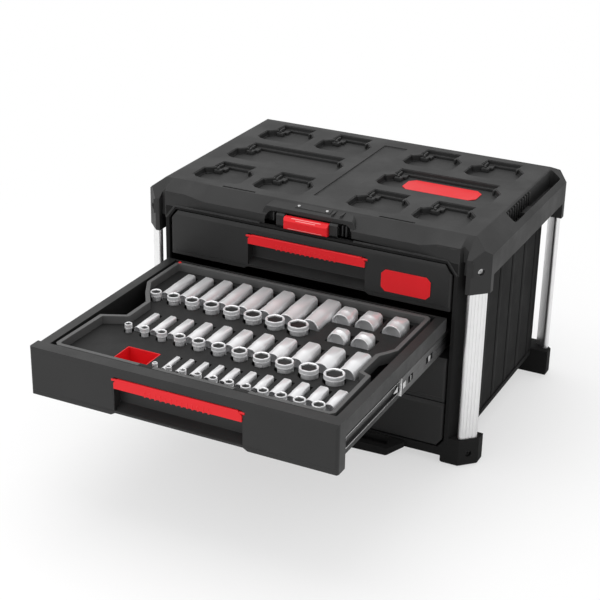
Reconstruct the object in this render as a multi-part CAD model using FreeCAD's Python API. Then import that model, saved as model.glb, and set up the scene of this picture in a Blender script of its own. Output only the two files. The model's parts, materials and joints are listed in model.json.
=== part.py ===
import FreeCAD, Part

import math
import os

V = FreeCAD.Vector

# ---------------------------------------------------------------------------
# Driving dimensions, in millimetres.  X is the width, Y runs from the front
# to the back, Z is up.  Z = 0 is the floor and X = 0 is the middle.
# ---------------------------------------------------------------------------
WIDTH = 564.0
HEIGHT = 361.0
COVER_DEPTH = 389.0
FRONT_Y = -200.0
REAR_Y = FRONT_Y + COVER_DEPTH
HALF_WIDTH = WIDTH / 2
CORNER_CUT = 23.0
SEAT_GAP = 0.2
SLIDE_GAP = 1.0  # room round a drawer box where it passes the opening
RUN_GAP = 0.05
PAST = 1.0  # how far a cutting shape runs past what it cuts

# drawers
DRAWER_COUNT = 4
OPEN_DRAWER = 2
DRAWER_TRAVEL = 373.0
FACE_SIDE = 50.0  # from the cover's side to a drawer face
FACE_WIDTH = WIDTH - 2 * FACE_SIDE
FACE_GAP = 2.0
FACE_THICK = 22.0
LOWEST_FACE_Z = 28.5
COVER_FACE = 40.5  # height of the cover above the top face
FACE_STACK_TOP = HEIGHT - COVER_FACE
DRAWER_PITCH = (FACE_STACK_TOP + FACE_GAP - LOWEST_FACE_Z) / DRAWER_COUNT
FACE_HEIGHT = DRAWER_PITCH - FACE_GAP
FACE_CORNER = (12.0, 16.0)
FACE_LOW_CORNER = (9.6, 12.8)
FACE_ROUND = 5.0
BOX_DROP = 3.0
BOX_WALL = 3.5
BOX_FLOOR = 3.0
BOX_LIFT = 3.0
RIM_RISE = 1.5
RIM_EDGE = 2.5
RIM_REAR_STOP = 6.0
FACE_STEP = (0.8, 6.5)
FACE_CREASE_DROP = 6.5
FACE_LEAN = 2.0
NOTCH_RISE = 3.5
NOTCH_FLARE = 6.0

# case and base
CASE_SIDE = 30.0  # from the cover's side to the case
CASE_HALF = HALF_WIDTH - CASE_SIDE
CASE_WALL = 4.0
CASE_FRONT_WALL = 6.0
CASE_REAR_Y = REAR_Y - 11.0
CASE_FRONT_CUT = (12.0, 18.0)
CASE_REAR_CUT = 26.0
CUT_FOLLOW = 0.4  # how far a cut corner moves for each mm of inset
CASE_FOOT_Z = 34.0
BEZEL = 3.0
BASE_UNDER_Z = 13.0
BASE_FLOOR_Z = 23.0
BASE_BEVEL = 15.0
BASE_WALL = 4.0
BASE_SKIN = 4.0
UNDER_INSET = (40.0, 25.0, 20.0)
UNDER_RIBS = (5, 4)
UNDER_RIB_THICK = 4.0
CLEAT_INSET = 22.0
CLEAT_SIZE = (44.0, 38.0)
CLEAT_Z = 4.0
RAIL_HALF = 9.0
RAIL_BITE = 0.5

# cover
SKIRT_Z = HEIGHT - 55.0
COVER_SKIN = 3.5
PLATEAU_HALF = HALF_WIDTH - 27.0
PLATEAU_FRONT = 28.0
PLATEAU_REAR = 24.0
SIDE_EDGE_Z = HEIGHT - 21.0
REAR_EDGE_Z = HEIGHT - 11.0
MID_RIDGE_Z = HEIGHT - 20.0
WING_RIDGE_Z = HEIGHT - 12.0
CORNER_EDGE_Z = HEIGHT - 27.0
RIDGE_HALF = HALF_WIDTH - 104.0
WING_HALF = HALF_WIDTH - 76.0
PANEL_HALF = HALF_WIDTH - 41.0
BLOCK_IN = HALF_WIDTH - 30.0
BLOCK_LEAN = 1.0
BLOCK_ROOM = 0.5
MID_STEP = 5.0
CUP_Z = HEIGHT - 80.0
CUP_DEEP = 34.0
COVER_ROOM = 18.0
COVER_WALL = 4.0
COVER_FRONT_WALL = 14.0
COVER_REAR_WALL = 5.0
CEILING_MARGIN = (6.0, 34.0, 27.0)
PANEL_STEP = (3.0, 9.0)
LANE_HALF = 20.0
LANE_INSET = (15.0, 15.6)
LANE_DEEP = 2.0
SLOT_X = (102.0, 158.0)
SLOT_BACK = 31.0
SLOT_WIDE = 4.0
SLOT_DEEP = 3.0
TROUGH_INSET = (2.0, 8.0)
TROUGH_RUN = (140.0, 30.0)
TROUGH_DEEP = 31.0
TROUGH_ROUND = 5.0
TROUGH_BLOCK = (68.0, 34.0)
TROUGH_BLOCK_DROP = 24.0

# stacking recesses in the cover
RECESS_DEPTH = 10.0
RECESS_ROWS = 3
RECESS_SIDE = 28.0  # from the plateau's edge
RECESS_MIDDLE = 35.5  # from the middle
RECESS_FRONT = 50.0  # from the cover's front
RECESS_REAR = 39.4  # from the cover's rear
RECESS_GAP = (17.5, 22.3)
RECESS_LONG = (PLATEAU_HALF - RECESS_SIDE - RECESS_MIDDLE - RECESS_GAP[0]) / 2
RECESS_WIDE = ((COVER_DEPTH - RECESS_FRONT - RECESS_REAR - (RECESS_ROWS - 1) * RECESS_GAP[1])
               / RECESS_ROWS)
RECESS_X = (RECESS_SIDE - PLATEAU_HALF, RECESS_MIDDLE)
RECESS_Y = FRONT_Y + RECESS_FRONT
RECESS_STEP_X = RECESS_LONG + RECESS_GAP[0]
RECESS_STEP_Y = RECESS_WIDE + RECESS_GAP[1]

# corner posts
POST_LONG = 31.0
POST_THICK = 10.0
POST_BITE = 12.0
POST_INSET = 2.5
FLUTES = 5
FOOT_TOP_Z = 45.0
FOOT_ROUND = 6.0
FOOT_LONG = 40.0
FOOT_IN = 22.0
FLUTE_R = 0.8
FLUTE_OUT = 0.3

# corner screws
SCREW_HEAD_R = 4.6
SCREW_HEAD_HIGH = 3.9
SCREW_SHANK_R = 2.0
SCREW_SHANK_LONG = 12.0
SCREW_SINK = 4.0
SCREW_HOLE_R = 5.2
COVER_SCREW_RISE = 9.0
FOOT_SCREW_DROP = 24.0

# telescopic slides
SLIDE_THICK = 12.7
SLIDE_HEIGHTS = (35.0, 28.0, 19.0)
SLIDE_SHEET = 1.2
SLIDE_LIFT = 27.5
REAR_CLEARANCE = 2.4
SLIDE_SIDE_GAP = 2.3
SLIDE_LEGS = (6.0, 5.4, 5.6)
SLIDE_STAGGER = 4.2
RIVET_R = 3.4
RIVET_HIGH = 1.2
RIVET_SHARES = (0.06, 0.45, 0.85)
OPENING_HALF = FACE_WIDTH / 2 + 2.5

# pull latches
STRIP_HALF = 97.0
STRIP_HEIGHT = 15.0
STRIP_THICK = 5.0
STRIP_TOP = FACE_HEIGHT - 14.5
STRIP_PROUD = 1.5
STRIP_CORNER = (6.0, 6.5)
STRIP_BEVEL = 2.0
STRIP_BACK_BEVEL = 2.5
STRIP_GAP = 1.3
STRIP_END_GAP = 0.5
AXLE_DROP = 3.0
RIB_COUNT = 13
RIB_PITCH = 8.0
RIB_R = 1.5
RIB_PROUD = 0.5
RIB_LONG = 8.0
RIB_DROP = 1.2
TRUNNION_R = 2.0
TRUNNION_LONG = 3.0
POCKET_DEEP = 16.0
POCKET_LIP = 9.5
POCKET_RAMP = (4.0, 6.0)
POCKET_BEVEL = (5.0, 2.5)

# top latch, base latch
LATCH_HALF = 36.0
LATCH_HEIGHT = 18.5
LATCH_THICK = 12.0
LATCH_PIN_R = 2.0
ARCH_HALF = 71.0
ARCH_WALL = 5.0
ARCH_DROP = 13.0
ARCH_ROUND = 14.0
BAY_DEEP = 17.0
BAY_SILL = 1.5
HOOD_BACK = 7.0
HOOD_DEEP = 40.0
HOOD_ROUND = 18.0
HOOD_DROP = 1.5
HOOD_LOW_Z = HEIGHT - 37.0
HOOD_BROW = (8.0, 0.5, 5.0)
LATCH_PROUD = 5.0
LATCH_BACK = 6.0
LATCH_DROP = 5.5
LATCH_RISE = 3.5
LATCH_ROUND = 3.0
LATCH_BEVEL = 2.0
LATCH_REAR_BEVEL = 1.0
LATCH_SLOPE = 5.0
BRACKET_BACK = 1.0
EAR_WIDE = 13.0
EAR_GAP = 1.0
EAR_LOW = 14.5
EAR_HIGH = 5.0
BASE_LATCH_HALF = 84.0
NOSE_HALF = 158.0
NOSE_DEEP = 25.0
NOSE_GAP = 1.0
NOSE_BACK = 8.0
NOSE_FLARE = 16.0
NOSE_LOW_Z = 2.0
NOSE_TOP_Z = 24.0
NOSE_PIN = (8.0, 12.0)
NOSE_PIN_BITE = 9.0
NOSE_TIP = (6.0, 4.0)
NOSE_BEVEL = 2.0
NOSE_WEDGE = (4.0, 6.0)
NOSE_LINK_Z = 4.0
SCOOP_INSET = (16.0, 8.0)
SCOOP_RUN = (17.5, 2.5)
SCOOP_FLOOR_Z = 12.0
LEVER_GAP = 1.0
LEVER_BEVEL = 2.0
LEVER_BACK = 5.0
LEVER_TOP = ((5.0, 4.0), (-2.0, 7.0), (4.0, 5.0), (0.0, 1.0))

# blank plates
PLATE_THICK = 1.2
BADGE_SIDE = 32.0  # from the end of the face
BADGE_LONG = 77.0
BADGE_INSET = (12.0, 25.5)
BADGE_CORNER = 6.5
LABEL_INSET_X = (36.5, 34.0)
LABEL_INSET_Y = (22.7, 17.3)
LABEL_CORNER = 9.75

# socket tray of the open drawer
TRAY_SIDE_GAP = 5.0
TRAY_GAP = 2.5
TRAY_RIM = 6.5
TRAY_SINK = 12.0
TRAY_SLAB = 21.0
TRAY_SKIRT = 3.0
SCOOP_DEEP = (36.0, 16.0)
SCOOP_AHEAD = 64.0  # from the scoops' middle back to the rear row
SCOOP_LONG = 52.0
POCKET_ROOM = 1.5
BIN_SIZE = 52.0
BIN_DEEP = 24.0
BIN_WALL = 1.6

# Socket rows, front to back.  start: first centre from the tray's left edge;
# pitch and grow: distance to the next one, and what it gains each time;
# d: first diameter and what it gains; fit: what bounds the row at the right;
# spare: room left behind the first and the last of its deep sockets.
SOCKET_ROWS = {
    "front": dict(start=150.5, pitch=21.2, grow=0.68, d=(7.5, 1.05), fit="rim", spare=(40.5, 29.5)),
    "middle": dict(start=54.0, pitch=26.6, grow=1.2, d=(11.0, 1.8), fit="scoop", spare=(51.0, 36.0)),
    "rear": dict(start=30.0, pitch=30.0, grow=1.15, d=(17.0, 1.86), fit="large", spare=(23.0, 11.0)),
}
ROW_FRONT = 17.5  # front row, from the tray's front
ROW_REAR = 112.0  # rear row, from the tray's rear
ROW_MIDDLE_SHARE = 0.4336  # middle row, between the other two
SOCKET_SPACE = 2.0
DEEP_OFFSET_X = 9.0
STANDING_HEIGHT = 25.0
STANDING_RISE = 12.0
SOCKET_WALL = 2.2
SOCKET_BORE = 12.0
SOCKET_NECK = 0.30
SOCKET_NECK_SLIM = 0.94
SOCKET_NOSE = 0.12
SOCKET_NOSE_SLIM = 0.8
TRAY_CORNER = 6.0
TRAY_RIM_FOOT = 4.0
TROUGH_END_ROOM = 3.0
BIN_PLACE = (80.0, 11.0)  # from the tray's left edge and front
LYING_RISE = 14.0  # how far a lying socket may stand above the tray's surface
POCKET_FLOOR = 1.0  # least depth of tray left under a lying socket
# Large short sockets: centre from the tray's right edge, front edge from its
# rear, diameter and length.
LARGE_SOCKETS = (
    (117.0, 58.0, 30.0, 36.0), (80.0, 58.0, 32.0, 39.0), (38.0, 58.0, 31.0, 39.0),
    (96.5, 118.0, 28.5, 26.0), (60.5, 116.0, 30.0, 28.0))

# derived places
OPEN_SHIFT = -DRAWER_TRAVEL
SLIDE_OUT_X = OPENING_HALF - SLIDE_SIDE_GAP
ROOM_REAR_Y = CASE_REAR_Y - CASE_WALL
ROOM_REAR_CUT = CASE_REAR_CUT - CUT_FOLLOW * CASE_WALL
SLIDE_REAR_Y = ROOM_REAR_Y - ROOM_REAR_CUT + CASE_HALF - CASE_WALL - SLIDE_OUT_X - REAR_CLEARANCE
SLIDE_FRONT_Y = FRONT_Y + FACE_THICK + 1.0
BOX_REAR_Y = SLIDE_REAR_Y
BOX_HALF = SLIDE_OUT_X - SLIDE_THICK
RIM_HALF = SLIDE_OUT_X - 1.0
TRAY_HALF = BOX_HALF - BOX_WALL - TRAY_SIDE_GAP
CASE_TOP_Z = HEIGHT - RECESS_DEPTH - 2 * COVER_SKIN - COVER_ROOM
COVER_SCREW_Z = SKIRT_Z + COVER_SCREW_RISE
FOOT_SCREW_Z = FOOT_TOP_Z - FOOT_SCREW_DROP
ORIGIN_SHIFT_Y = -(REAR_Y + FRONT_Y + OPEN_SHIFT - STRIP_PROUD - RIB_PROUD) / 2


# ---------------------------------------------------------------------------
# Shape helpers
# ---------------------------------------------------------------------------
def box(x0, x1, y0, y1, z0, z1):
    return Part.makeBox(x1 - x0, y1 - y0, z1 - z0, V(x0, y0, z0))


def face(points):
    return Part.Face(Part.makePolygon(points + [points[0]]))


def prism_z(points, z0, z1):
    """Plan outline (x, y) raised from z0 to z1."""
    return face([V(x, y, z0) for x, y in points]).extrude(V(0, 0, z1 - z0))


def prism_y(points, y0, y1):
    """Front outline (x, z) run from y0 to y1."""
    return face([V(x, y0, z) for x, z in points]).extrude(V(0, y1 - y0, 0))


def prism_x(points, x0, x1):
    """Side outline (y, z) run from x0 to x1."""
    return face([V(x0, y, z) for y, z in points]).extrude(V(x1 - x0, 0, 0))


def rod(radius, start, direction, length):
    return Part.makeCylinder(radius, length, start, direction)


def fuse(shapes):
    first, rest = shapes[0], list(shapes[1:])
    return first.fuse(rest).removeSplitter() if rest else first


def cut(shape, tools):
    return shape.cut(list(tools))


def flip(shape):
    """The same shape on the other side of X = 0."""
    return shape.mirror(V(0, 0, 0), V(1, 0, 0))


def both(shape):
    return [shape, flip(shape)]


def both_sides(points):
    """A right-hand half outline, closed by its mirror image."""
    return points + [(-x, y) for x, y in reversed(points)]


def round_edges(shape, radius, picks):
    edges = [e for e in shape.Edges if picks(e)]
    return shape.makeFillet(radius, edges) if edges else shape


def is_along(edge, axis):
    ends = [v.Point for v in edge.Vertexes]
    if len(ends) != 2:
        return False
    run = ends[1].sub(ends[0])
    return run.Length > 1e-6 and abs(abs(run.dot(axis)) - run.Length) < 1e-6


# ---------------------------------------------------------------------------
# Places of repeated things
# ---------------------------------------------------------------------------
def face_z(number):
    """Bottom of a drawer face; drawer 1 is the top one."""
    return LOWEST_FACE_Z + (DRAWER_COUNT - number) * DRAWER_PITCH


def corner_signs():
    return [(side, end) for end in (-1, 1) for side in (-1, 1)]


def corner_y(end):
    return FRONT_Y if end < 0 else REAR_Y


def post_center(side, end):
    inset = CORNER_CUT / 2 + (POST_INSET + POST_THICK / 2) / math.sqrt(2)
    return V(side * (HALF_WIDTH - inset), corner_y(end) - end * inset, 0)


def corner_out(side, end):
    return V(side, end, 0).normalize()


def corner_plan(side, end, inner, depth):
    """Outline of a corner block with its cut corner."""
    edge = corner_y(end)
    points = [(inner, edge), (HALF_WIDTH - CORNER_CUT, edge), (HALF_WIDTH, edge - end * CORNER_CUT),
              (HALF_WIDTH, edge - end * depth), (inner, edge - end * depth)]
    return [(side * x, y) for x, y in points]


def spaced(low, high, count):
    """Places that divide a stretch evenly, without its ends."""
    return [low + (high - low) * (i + 1) / (count + 1) for i in range(count)]


def post_section(side, end, grow=0.0):
    """Flattened section of a post, square to the corner."""
    middle = post_center(side, end)
    out = corner_out(side, end)
    along = V(-out.y, out.x, 0)
    reach = (POST_LONG - POST_THICK) / 2
    radius = POST_THICK / 2 + grow
    ends = [middle + along * reach, middle - along * reach]
    lines = [Part.LineSegment(ends[0] + out * radius, ends[1] + out * radius).toShape(),
             Part.LineSegment(ends[1] - out * radius, ends[0] - out * radius).toShape()]
    arcs = [Part.Arc(ends[1] + out * radius, ends[1] - along * radius,
                     ends[1] - out * radius).toShape(),
            Part.Arc(ends[0] - out * radius, ends[0] + along * radius,
                     ends[0] + out * radius).toShape()]
    return Part.Face(Part.Wire([lines[0], arcs[0], lines[1], arcs[1]]))


def post_solid(side, end, z0, z1, grow=0.0):
    section = post_section(side, end, grow)
    section.translate(V(0, 0, z0))
    return section.extrude(V(0, 0, z1 - z0))


# ---------------------------------------------------------------------------
# Case, base and cover
# ---------------------------------------------------------------------------
def case_plan(inset=0.0):
    half = CASE_HALF - inset
    front = FRONT_Y + (CASE_FRONT_WALL if inset else 0.0)
    rear = CASE_REAR_Y - inset
    cx, cy = CASE_FRONT_CUT
    slope = inset * CUT_FOLLOW
    right = [(half - cx, front), (half, front + cy - slope), (half, rear - CASE_REAR_CUT + slope),
             (half - CASE_REAR_CUT + slope, rear)]
    return both_sides(right)


def opening_outline(grow):
    """Front outline of the drawer opening, with its two cut top corners."""
    half = OPENING_HALF + grow
    top = FACE_STACK_TOP + FACE_GAP + grow
    low = LOWEST_FACE_Z - FACE_GAP - grow
    (cx, cz), (low_x, low_z) = FACE_CORNER, FACE_LOW_CORNER
    side = [(half - low_x, low), (half, low + low_z), (half, top - cz), (half - cx, top)]
    return side + [(-x, z) for x, z in reversed(side)]


def case_opening():
    """The drawer opening, as a solid that runs through the front wall."""
    return prism_y(opening_outline(0), FRONT_Y - PAST, FRONT_Y + CASE_FRONT_WALL + PAST)


def make_case_shell():
    outer = prism_z(case_plan(), CASE_FOOT_Z, CASE_TOP_Z)
    room = prism_z(case_plan(CASE_WALL), CASE_FOOT_Z, CASE_TOP_Z)
    frame = prism_y(opening_outline(BEZEL), FRONT_Y, FRONT_Y + CASE_FRONT_WALL)
    below = box(-CASE_HALF, CASE_HALF, FRONT_Y, FRONT_Y + CASE_FRONT_WALL, 0, CASE_FOOT_Z)
    shell = outer.cut(room).fuse(frame.cut(below)).cut(case_opening())
    return fuse([shell] + slide_rails())


def slide_rails():
    """Moulded ledges on the inner side walls that carry the slides."""
    rails = []
    for number in range(1, DRAWER_COUNT + 1):
        middle = face_z(number) + SLIDE_LIFT
        rail = box(SLIDE_OUT_X, CASE_HALF - CASE_WALL + RAIL_BITE, FRONT_Y + CASE_FRONT_CUT[1],
                   ROOM_REAR_Y - CASE_REAR_CUT, middle - RAIL_HALF, middle + RAIL_HALF)
        rails += both(rail)
    return rails


def under_pocket():
    """Shallow pocket under the base, crossed by ribs."""
    side, front, rear = UNDER_INSET
    x1, y0, y1 = CASE_HALF - side, FRONT_Y + front, CASE_REAR_Y - rear
    low, high = BASE_UNDER_Z - PAST, BASE_FLOOR_Z - BASE_SKIN
    long_ribs, cross_ribs = UNDER_RIBS
    half = UNDER_RIB_THICK / 2
    ribs = [box(x - half, x + half, y0, y1, low, high) for x in spaced(-x1, x1, long_ribs)]
    ribs += [box(-x1, x1, y - half, y + half, low, high) for y in spaced(y0, y1, cross_ribs)]
    return box(-x1, x1, y0, y1, low, high).cut(ribs)


def make_base():
    half = CASE_HALF
    lean = BASE_BEVEL * (CASE_FOOT_Z - BASE_FLOOR_Z) / (CASE_FOOT_Z - BASE_UNDER_Z)
    outer = prism_y([(-half, CASE_FOOT_Z), (-half + BASE_BEVEL, BASE_UNDER_Z),
                     (half - BASE_BEVEL, BASE_UNDER_Z), (half, CASE_FOOT_Z)], FRONT_Y, CASE_REAR_Y)
    outer = outer.common(prism_z(case_plan(), 0, CASE_FOOT_Z))
    inner = half - BASE_WALL
    room = prism_y([(-inner, CASE_FOOT_Z), (-inner + lean, BASE_FLOOR_Z),
                    (inner - lean, BASE_FLOOR_Z), (inner, CASE_FOOT_Z)],
                   FRONT_Y + CASE_FRONT_WALL, CASE_REAR_Y - BASE_WALL)
    base = cut(outer, [room, case_opening(), under_pocket()])
    feet = [foot(side, end) for side, end in corner_signs()]
    base = fuse([base] + feet + both(nose_ear()) + stacking_cleats())
    holes = [post_solid(side, end, FOOT_TOP_Z - POST_BITE, FOOT_TOP_Z + PAST, SEAT_GAP)
             for side, end in corner_signs()]
    holes += [corner_screw_hole(side, end, FOOT_SCREW_Z) for side, end in corner_signs()]
    start, length = base_latch_pin()
    return cut(base, holes + [rod(LATCH_PIN_R + RUN_GAP, start, V(1, 0, 0), length)])


def foot(side, end):
    block = prism_z(corner_plan(side, end, CASE_HALF - FOOT_IN, FOOT_LONG), 0, FOOT_TOP_Z)
    low = [e for e in block.Edges if abs(e.BoundBox.ZMax) < 1e-6]
    block = block.makeFillet(FOOT_ROUND, low)
    room = prism_z(case_plan(), CASE_FOOT_Z, HEIGHT)
    inside = box(-OPENING_HALF, OPENING_HALF, FRONT_Y - PAST, REAR_Y + PAST, BASE_FLOOR_Z, HEIGHT)
    return block.cut([room, inside])


def nose_ear():
    """Right-hand part of the nose that carries the base latch."""
    inner, outer = BASE_LATCH_HALF + NOSE_GAP, NOSE_HALF + NOSE_FLARE
    front, back, top = FRONT_Y - NOSE_DEEP, FRONT_Y + NOSE_BACK, NOSE_TOP_Z
    tip_x, tip_z = NOSE_TIP
    ear = prism_y([(inner, NOSE_LOW_Z), (NOSE_HALF - tip_x, tip_z),
                   (outer, BASE_UNDER_Z + NOSE_BEVEL), (outer, top), (inner, top)], front, back)
    slope = prism_x([(front - PAST, top - NOSE_BACK), (FRONT_Y - NOSE_BEVEL, top + PAST),
                     (front - PAST, top + PAST)], inner - PAST, outer + PAST)
    (near, far), (scoop_front, scoop_rear) = SCOOP_INSET, SCOOP_RUN
    scoop = box(inner + near, NOSE_HALF - far, FRONT_Y - scoop_front, FRONT_Y - scoop_rear,
                SCOOP_FLOOR_Z, top + PAST)
    wedge_x, wedge_y = NOSE_WEDGE
    wedge = prism_z([(NOSE_HALF - wedge_x, front - PAST), (outer + PAST, FRONT_Y - wedge_y),
                     (outer + PAST, front - PAST)], 0, top + PAST)
    link = box(-PAST, inner + PAST, FRONT_Y + SEAT_GAP, back, NOSE_LINK_Z, top)
    return ear.cut([slope, scoop, wedge]).fuse([link])


def stacking_cleats():
    """Cleats under the base, clear of the floor, laid out as the cover's recesses are."""
    long_x, long_y = CLEAT_SIZE
    cleats = []
    for column in range(2 * len(RECESS_X)):
        x = recess_left(column) + CLEAT_INSET
        for row in range(RECESS_ROWS):
            y = RECESS_Y + row * RECESS_STEP_Y + CLEAT_INSET
            cleats.append(box(x, x + long_x, y, y + long_y, CLEAT_Z, BASE_FLOOR_Z - BASE_SKIN + PAST))
    return cleats


def base_latch_pin():
    """Start and length of the pin that the base latch turns on."""
    back, z = NOSE_PIN
    reach = BASE_LATCH_HALF + NOSE_PIN_BITE
    return V(-reach, FRONT_Y - back, z), 2 * reach


def recess_left(column):
    return RECESS_X[column // 2] + (column % 2) * RECESS_STEP_X


def recess_plan(left, front, length):
    """Outline of a stacking recess: clipped corners and a tongue at the left."""
    w = RECESS_WIDE
    points = [(0, 0.13 * w), (7, 0.04 * w), (20, 0), (length - 7, 0), (length, 0.10 * w),
              (length, 0.58 * w), (length - 14, 0.79 * w), (length - 14, w), (14, w),
              (12, 0.70 * w), (15, 0.66 * w), (5, 0.54 * w), (0, 0.54 * w)]
    return [(left + x, front + y) for x, y in points]


def recess_places():
    """Every recess as (left, front, length); the middle row joins in pairs."""
    places = []
    for row in range(RECESS_ROWS):
        front = RECESS_Y + row * RECESS_STEP_Y
        if row == RECESS_ROWS // 2:
            places += [(x, front, RECESS_LONG + RECESS_STEP_X) for x in RECESS_X]
        else:
            places += [(recess_left(c), front, RECESS_LONG) for c in range(2 * len(RECESS_X))]
    return places


def cover_plan():
    mid = FRONT_Y + MID_STEP
    step_x, step_y = PANEL_STEP
    right = [(RIDGE_HALF, mid), (WING_HALF, FRONT_Y), (PANEL_HALF, FRONT_Y),
             (PANEL_HALF + step_x, FRONT_Y + step_y), (BLOCK_IN - BLOCK_LEAN, FRONT_Y + step_y),
             (BLOCK_IN, FRONT_Y), (HALF_WIDTH - CORNER_CUT, FRONT_Y),
             (HALF_WIDTH, FRONT_Y + CORNER_CUT), (HALF_WIDTH, REAR_Y - CORNER_CUT),
             (HALF_WIDTH - CORNER_CUT, REAR_Y)]
    return both_sides(right)


def front_slope_section(x, edge_y, edge_z):
    """Side view of what the front slope removes at one station."""
    start_y = FRONT_Y + PLATEAU_FRONT
    far = 12.0
    drop = (HEIGHT - edge_z) / (start_y - edge_y) * far
    points = [V(x, start_y, HEIGHT), V(x, edge_y - far, edge_z - drop),
              V(x, edge_y - far, HEIGHT + far), V(x, start_y, HEIGHT + far)]
    return Part.makePolygon(points + [points[0]])


def cover_slopes():
    mid = FRONT_Y + MID_STEP
    right = [(RIDGE_HALF, mid, MID_RIDGE_Z), (WING_HALF, FRONT_Y, WING_RIDGE_Z),
             (PANEL_HALF, FRONT_Y, WING_RIDGE_Z), (BLOCK_IN, FRONT_Y, CORNER_EDGE_Z),
             (HALF_WIDTH + 1, FRONT_Y, CORNER_EDGE_Z)]
    stations = [(-x, y, z) for x, y, z in reversed(right)] + right
    front = Part.makeLoft([front_slope_section(*s) for s in stations], True, True)
    out = HALF_WIDTH + 10
    fall = (HEIGHT - SIDE_EDGE_Z) / (HALF_WIDTH - PLATEAU_HALF) * (out - PLATEAU_HALF)
    side = prism_y([(PLATEAU_HALF, HEIGHT), (out, HEIGHT - fall), (out, HEIGHT + 10),
                    (PLATEAU_HALF, HEIGHT + 10)], FRONT_Y - 1, REAR_Y + 1)
    rear_start = REAR_Y - PLATEAU_REAR
    rear = prism_x([(rear_start, HEIGHT), (REAR_Y + 8, REAR_EDGE_Z - 4), (REAR_Y + 8, HEIGHT + 9),
                    (rear_start, HEIGHT + 9)], -HALF_WIDTH - 1, HALF_WIDTH + 1)
    return [front, rear] + both(side)


def side_trough():
    """Long hand recess in the sloping side of the cover, with a block left in it."""
    inner, outer = PLATEAU_HALF + TROUGH_INSET[0], HALF_WIDTH - TROUGH_INSET[1]
    near, rear = TROUGH_RUN
    trough = box(inner, outer, FRONT_Y + near, REAR_Y - rear, HEIGHT - TROUGH_DEEP, HEIGHT + PAST)
    trough = round_edges(trough, TROUGH_ROUND, lambda e: is_along(e, V(0, 0, 1)))
    start, long = TROUGH_BLOCK
    block_y = FRONT_Y + near + start
    block = box(inner, outer, block_y, block_y + long, HEIGHT - TROUGH_DEEP - PAST,
                HEIGHT - TROUGH_BLOCK_DROP)
    return trough.cut([block])


def arch_block(half, y0, y1, low, high, radius):
    """Block with two round top shoulders, seen from the front."""
    block = box(-half, half, y0, y1, low, high)
    top = [e for e in block.Edges if is_along(e, V(0, 1, 0)) and e.BoundBox.ZMin > high - 1]
    return block.makeFillet(radius, top)


def latch_bay():
    """Round-shouldered bay in the cover front that holds the top latch."""
    low = FACE_STACK_TOP + FACE_GAP + BEZEL + BAY_SILL
    return arch_block(ARCH_HALF, FRONT_Y - PAST, FRONT_Y + BAY_DEEP, low, HEIGHT - ARCH_DROP, ARCH_ROUND)


def latch_hood():
    """Raised brow of the cover over the latch bay."""
    block = arch_block(ARCH_HALF + ARCH_WALL, FRONT_Y + HOOD_BACK, FRONT_Y + HOOD_DEEP,
                       HOOD_LOW_Z, HEIGHT - HOOD_DROP, HOOD_ROUND)
    front_drop, rear_drop, rear_in = HOOD_BROW
    slope = prism_x([(FRONT_Y - PAST, HEIGHT - front_drop),
                     (FRONT_Y + HOOD_DEEP - rear_in, HEIGHT - rear_drop),
                     (FRONT_Y - PAST, HEIGHT + PAST)], -WIDTH, WIDTH)
    return block.cut(slope)


def corner_screw_hole(side, end, z):
    """Counterbore for a corner screw's head and the hole for its shank."""
    out = corner_out(side, end)
    deep = SCREW_SINK + SCREW_HEAD_HIGH
    mouth = rod(SCREW_HOLE_R, corner_face(side, end, z) + out * PAST, out * -1, deep + PAST)
    shank = rod(SCREW_SHANK_R, corner_face(side, end, z) - out * deep, out * -1, SCREW_SHANK_LONG)
    return mouth.fuse(shank)


def corner_face(side, end, z):
    """Middle of the cut corner's face at one height."""
    return V(side * (HALF_WIDTH - CORNER_CUT / 2), corner_y(end) - end * CORNER_CUT / 2, z)


def cover_rooms():
    """Hollow of the cover: wide under the sides, then under the middle and the top."""
    seat, low = CASE_TOP_Z, CUP_Z - PAST
    ceiling = HEIGHT - RECESS_DEPTH - COVER_SKIN
    side, front, rear = CEILING_MARGIN
    wide = HALF_WIDTH - COVER_WALL
    block = BLOCK_IN - BLOCK_ROOM
    top = PLATEAU_HALF - side
    return [box(-wide, wide, FRONT_Y + CUP_DEEP, REAR_Y - CUP_DEEP, low, seat),
            box(-block, block, FRONT_Y + COVER_FRONT_WALL, REAR_Y - COVER_REAR_WALL, low, seat),
            box(-top, top, FRONT_Y + front, REAR_Y - rear, seat - PAST, ceiling)]


def cover_grooves():
    """Shallow lane down the middle of the top and the slots in front of it."""
    near, far = LANE_INSET
    lane = box(-LANE_HALF, LANE_HALF, RECESS_Y + near, REAR_Y - RECESS_REAR - far,
               HEIGHT - LANE_DEEP, HEIGHT + PAST)
    slot = box(SLOT_X[0], SLOT_X[1], FRONT_Y + SLOT_BACK, FRONT_Y + SLOT_BACK + SLOT_WIDE,
               HEIGHT - SLOT_DEEP, HEIGHT + PAST)
    return [lane] + both(slot)


def make_top_cover():
    cover = prism_z(cover_plan(), SKIRT_Z, HEIGHT).cut(cover_slopes())
    cups = [prism_z(corner_plan(s, e, BLOCK_IN, CUP_DEEP), CUP_Z, SKIRT_Z + PAST)
            for s, e in corner_signs()]
    cover = fuse([cover, latch_hood()] + cups)
    mouth = prism_y(opening_outline(BEZEL + SEAT_GAP), FRONT_Y - PAST,
                    FRONT_Y + COVER_FRONT_WALL + PAST)
    tools = cover_rooms() + [mouth, latch_bay()] + both(side_trough()) + cover_grooves()
    tools += [prism_z(recess_plan(*place), HEIGHT - RECESS_DEPTH, HEIGHT + PAST)
              for place in recess_places()]
    tools += [post_solid(s, e, CUP_Z - PAST, CUP_Z + POST_BITE, SEAT_GAP) for s, e in corner_signs()]
    tools += [corner_screw_hole(s, e, COVER_SCREW_Z) for s, e in corner_signs()]
    tools.append(prism_z(case_plan(), CUP_Z - PAST, CASE_TOP_Z))
    return cut(cover, tools)


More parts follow.
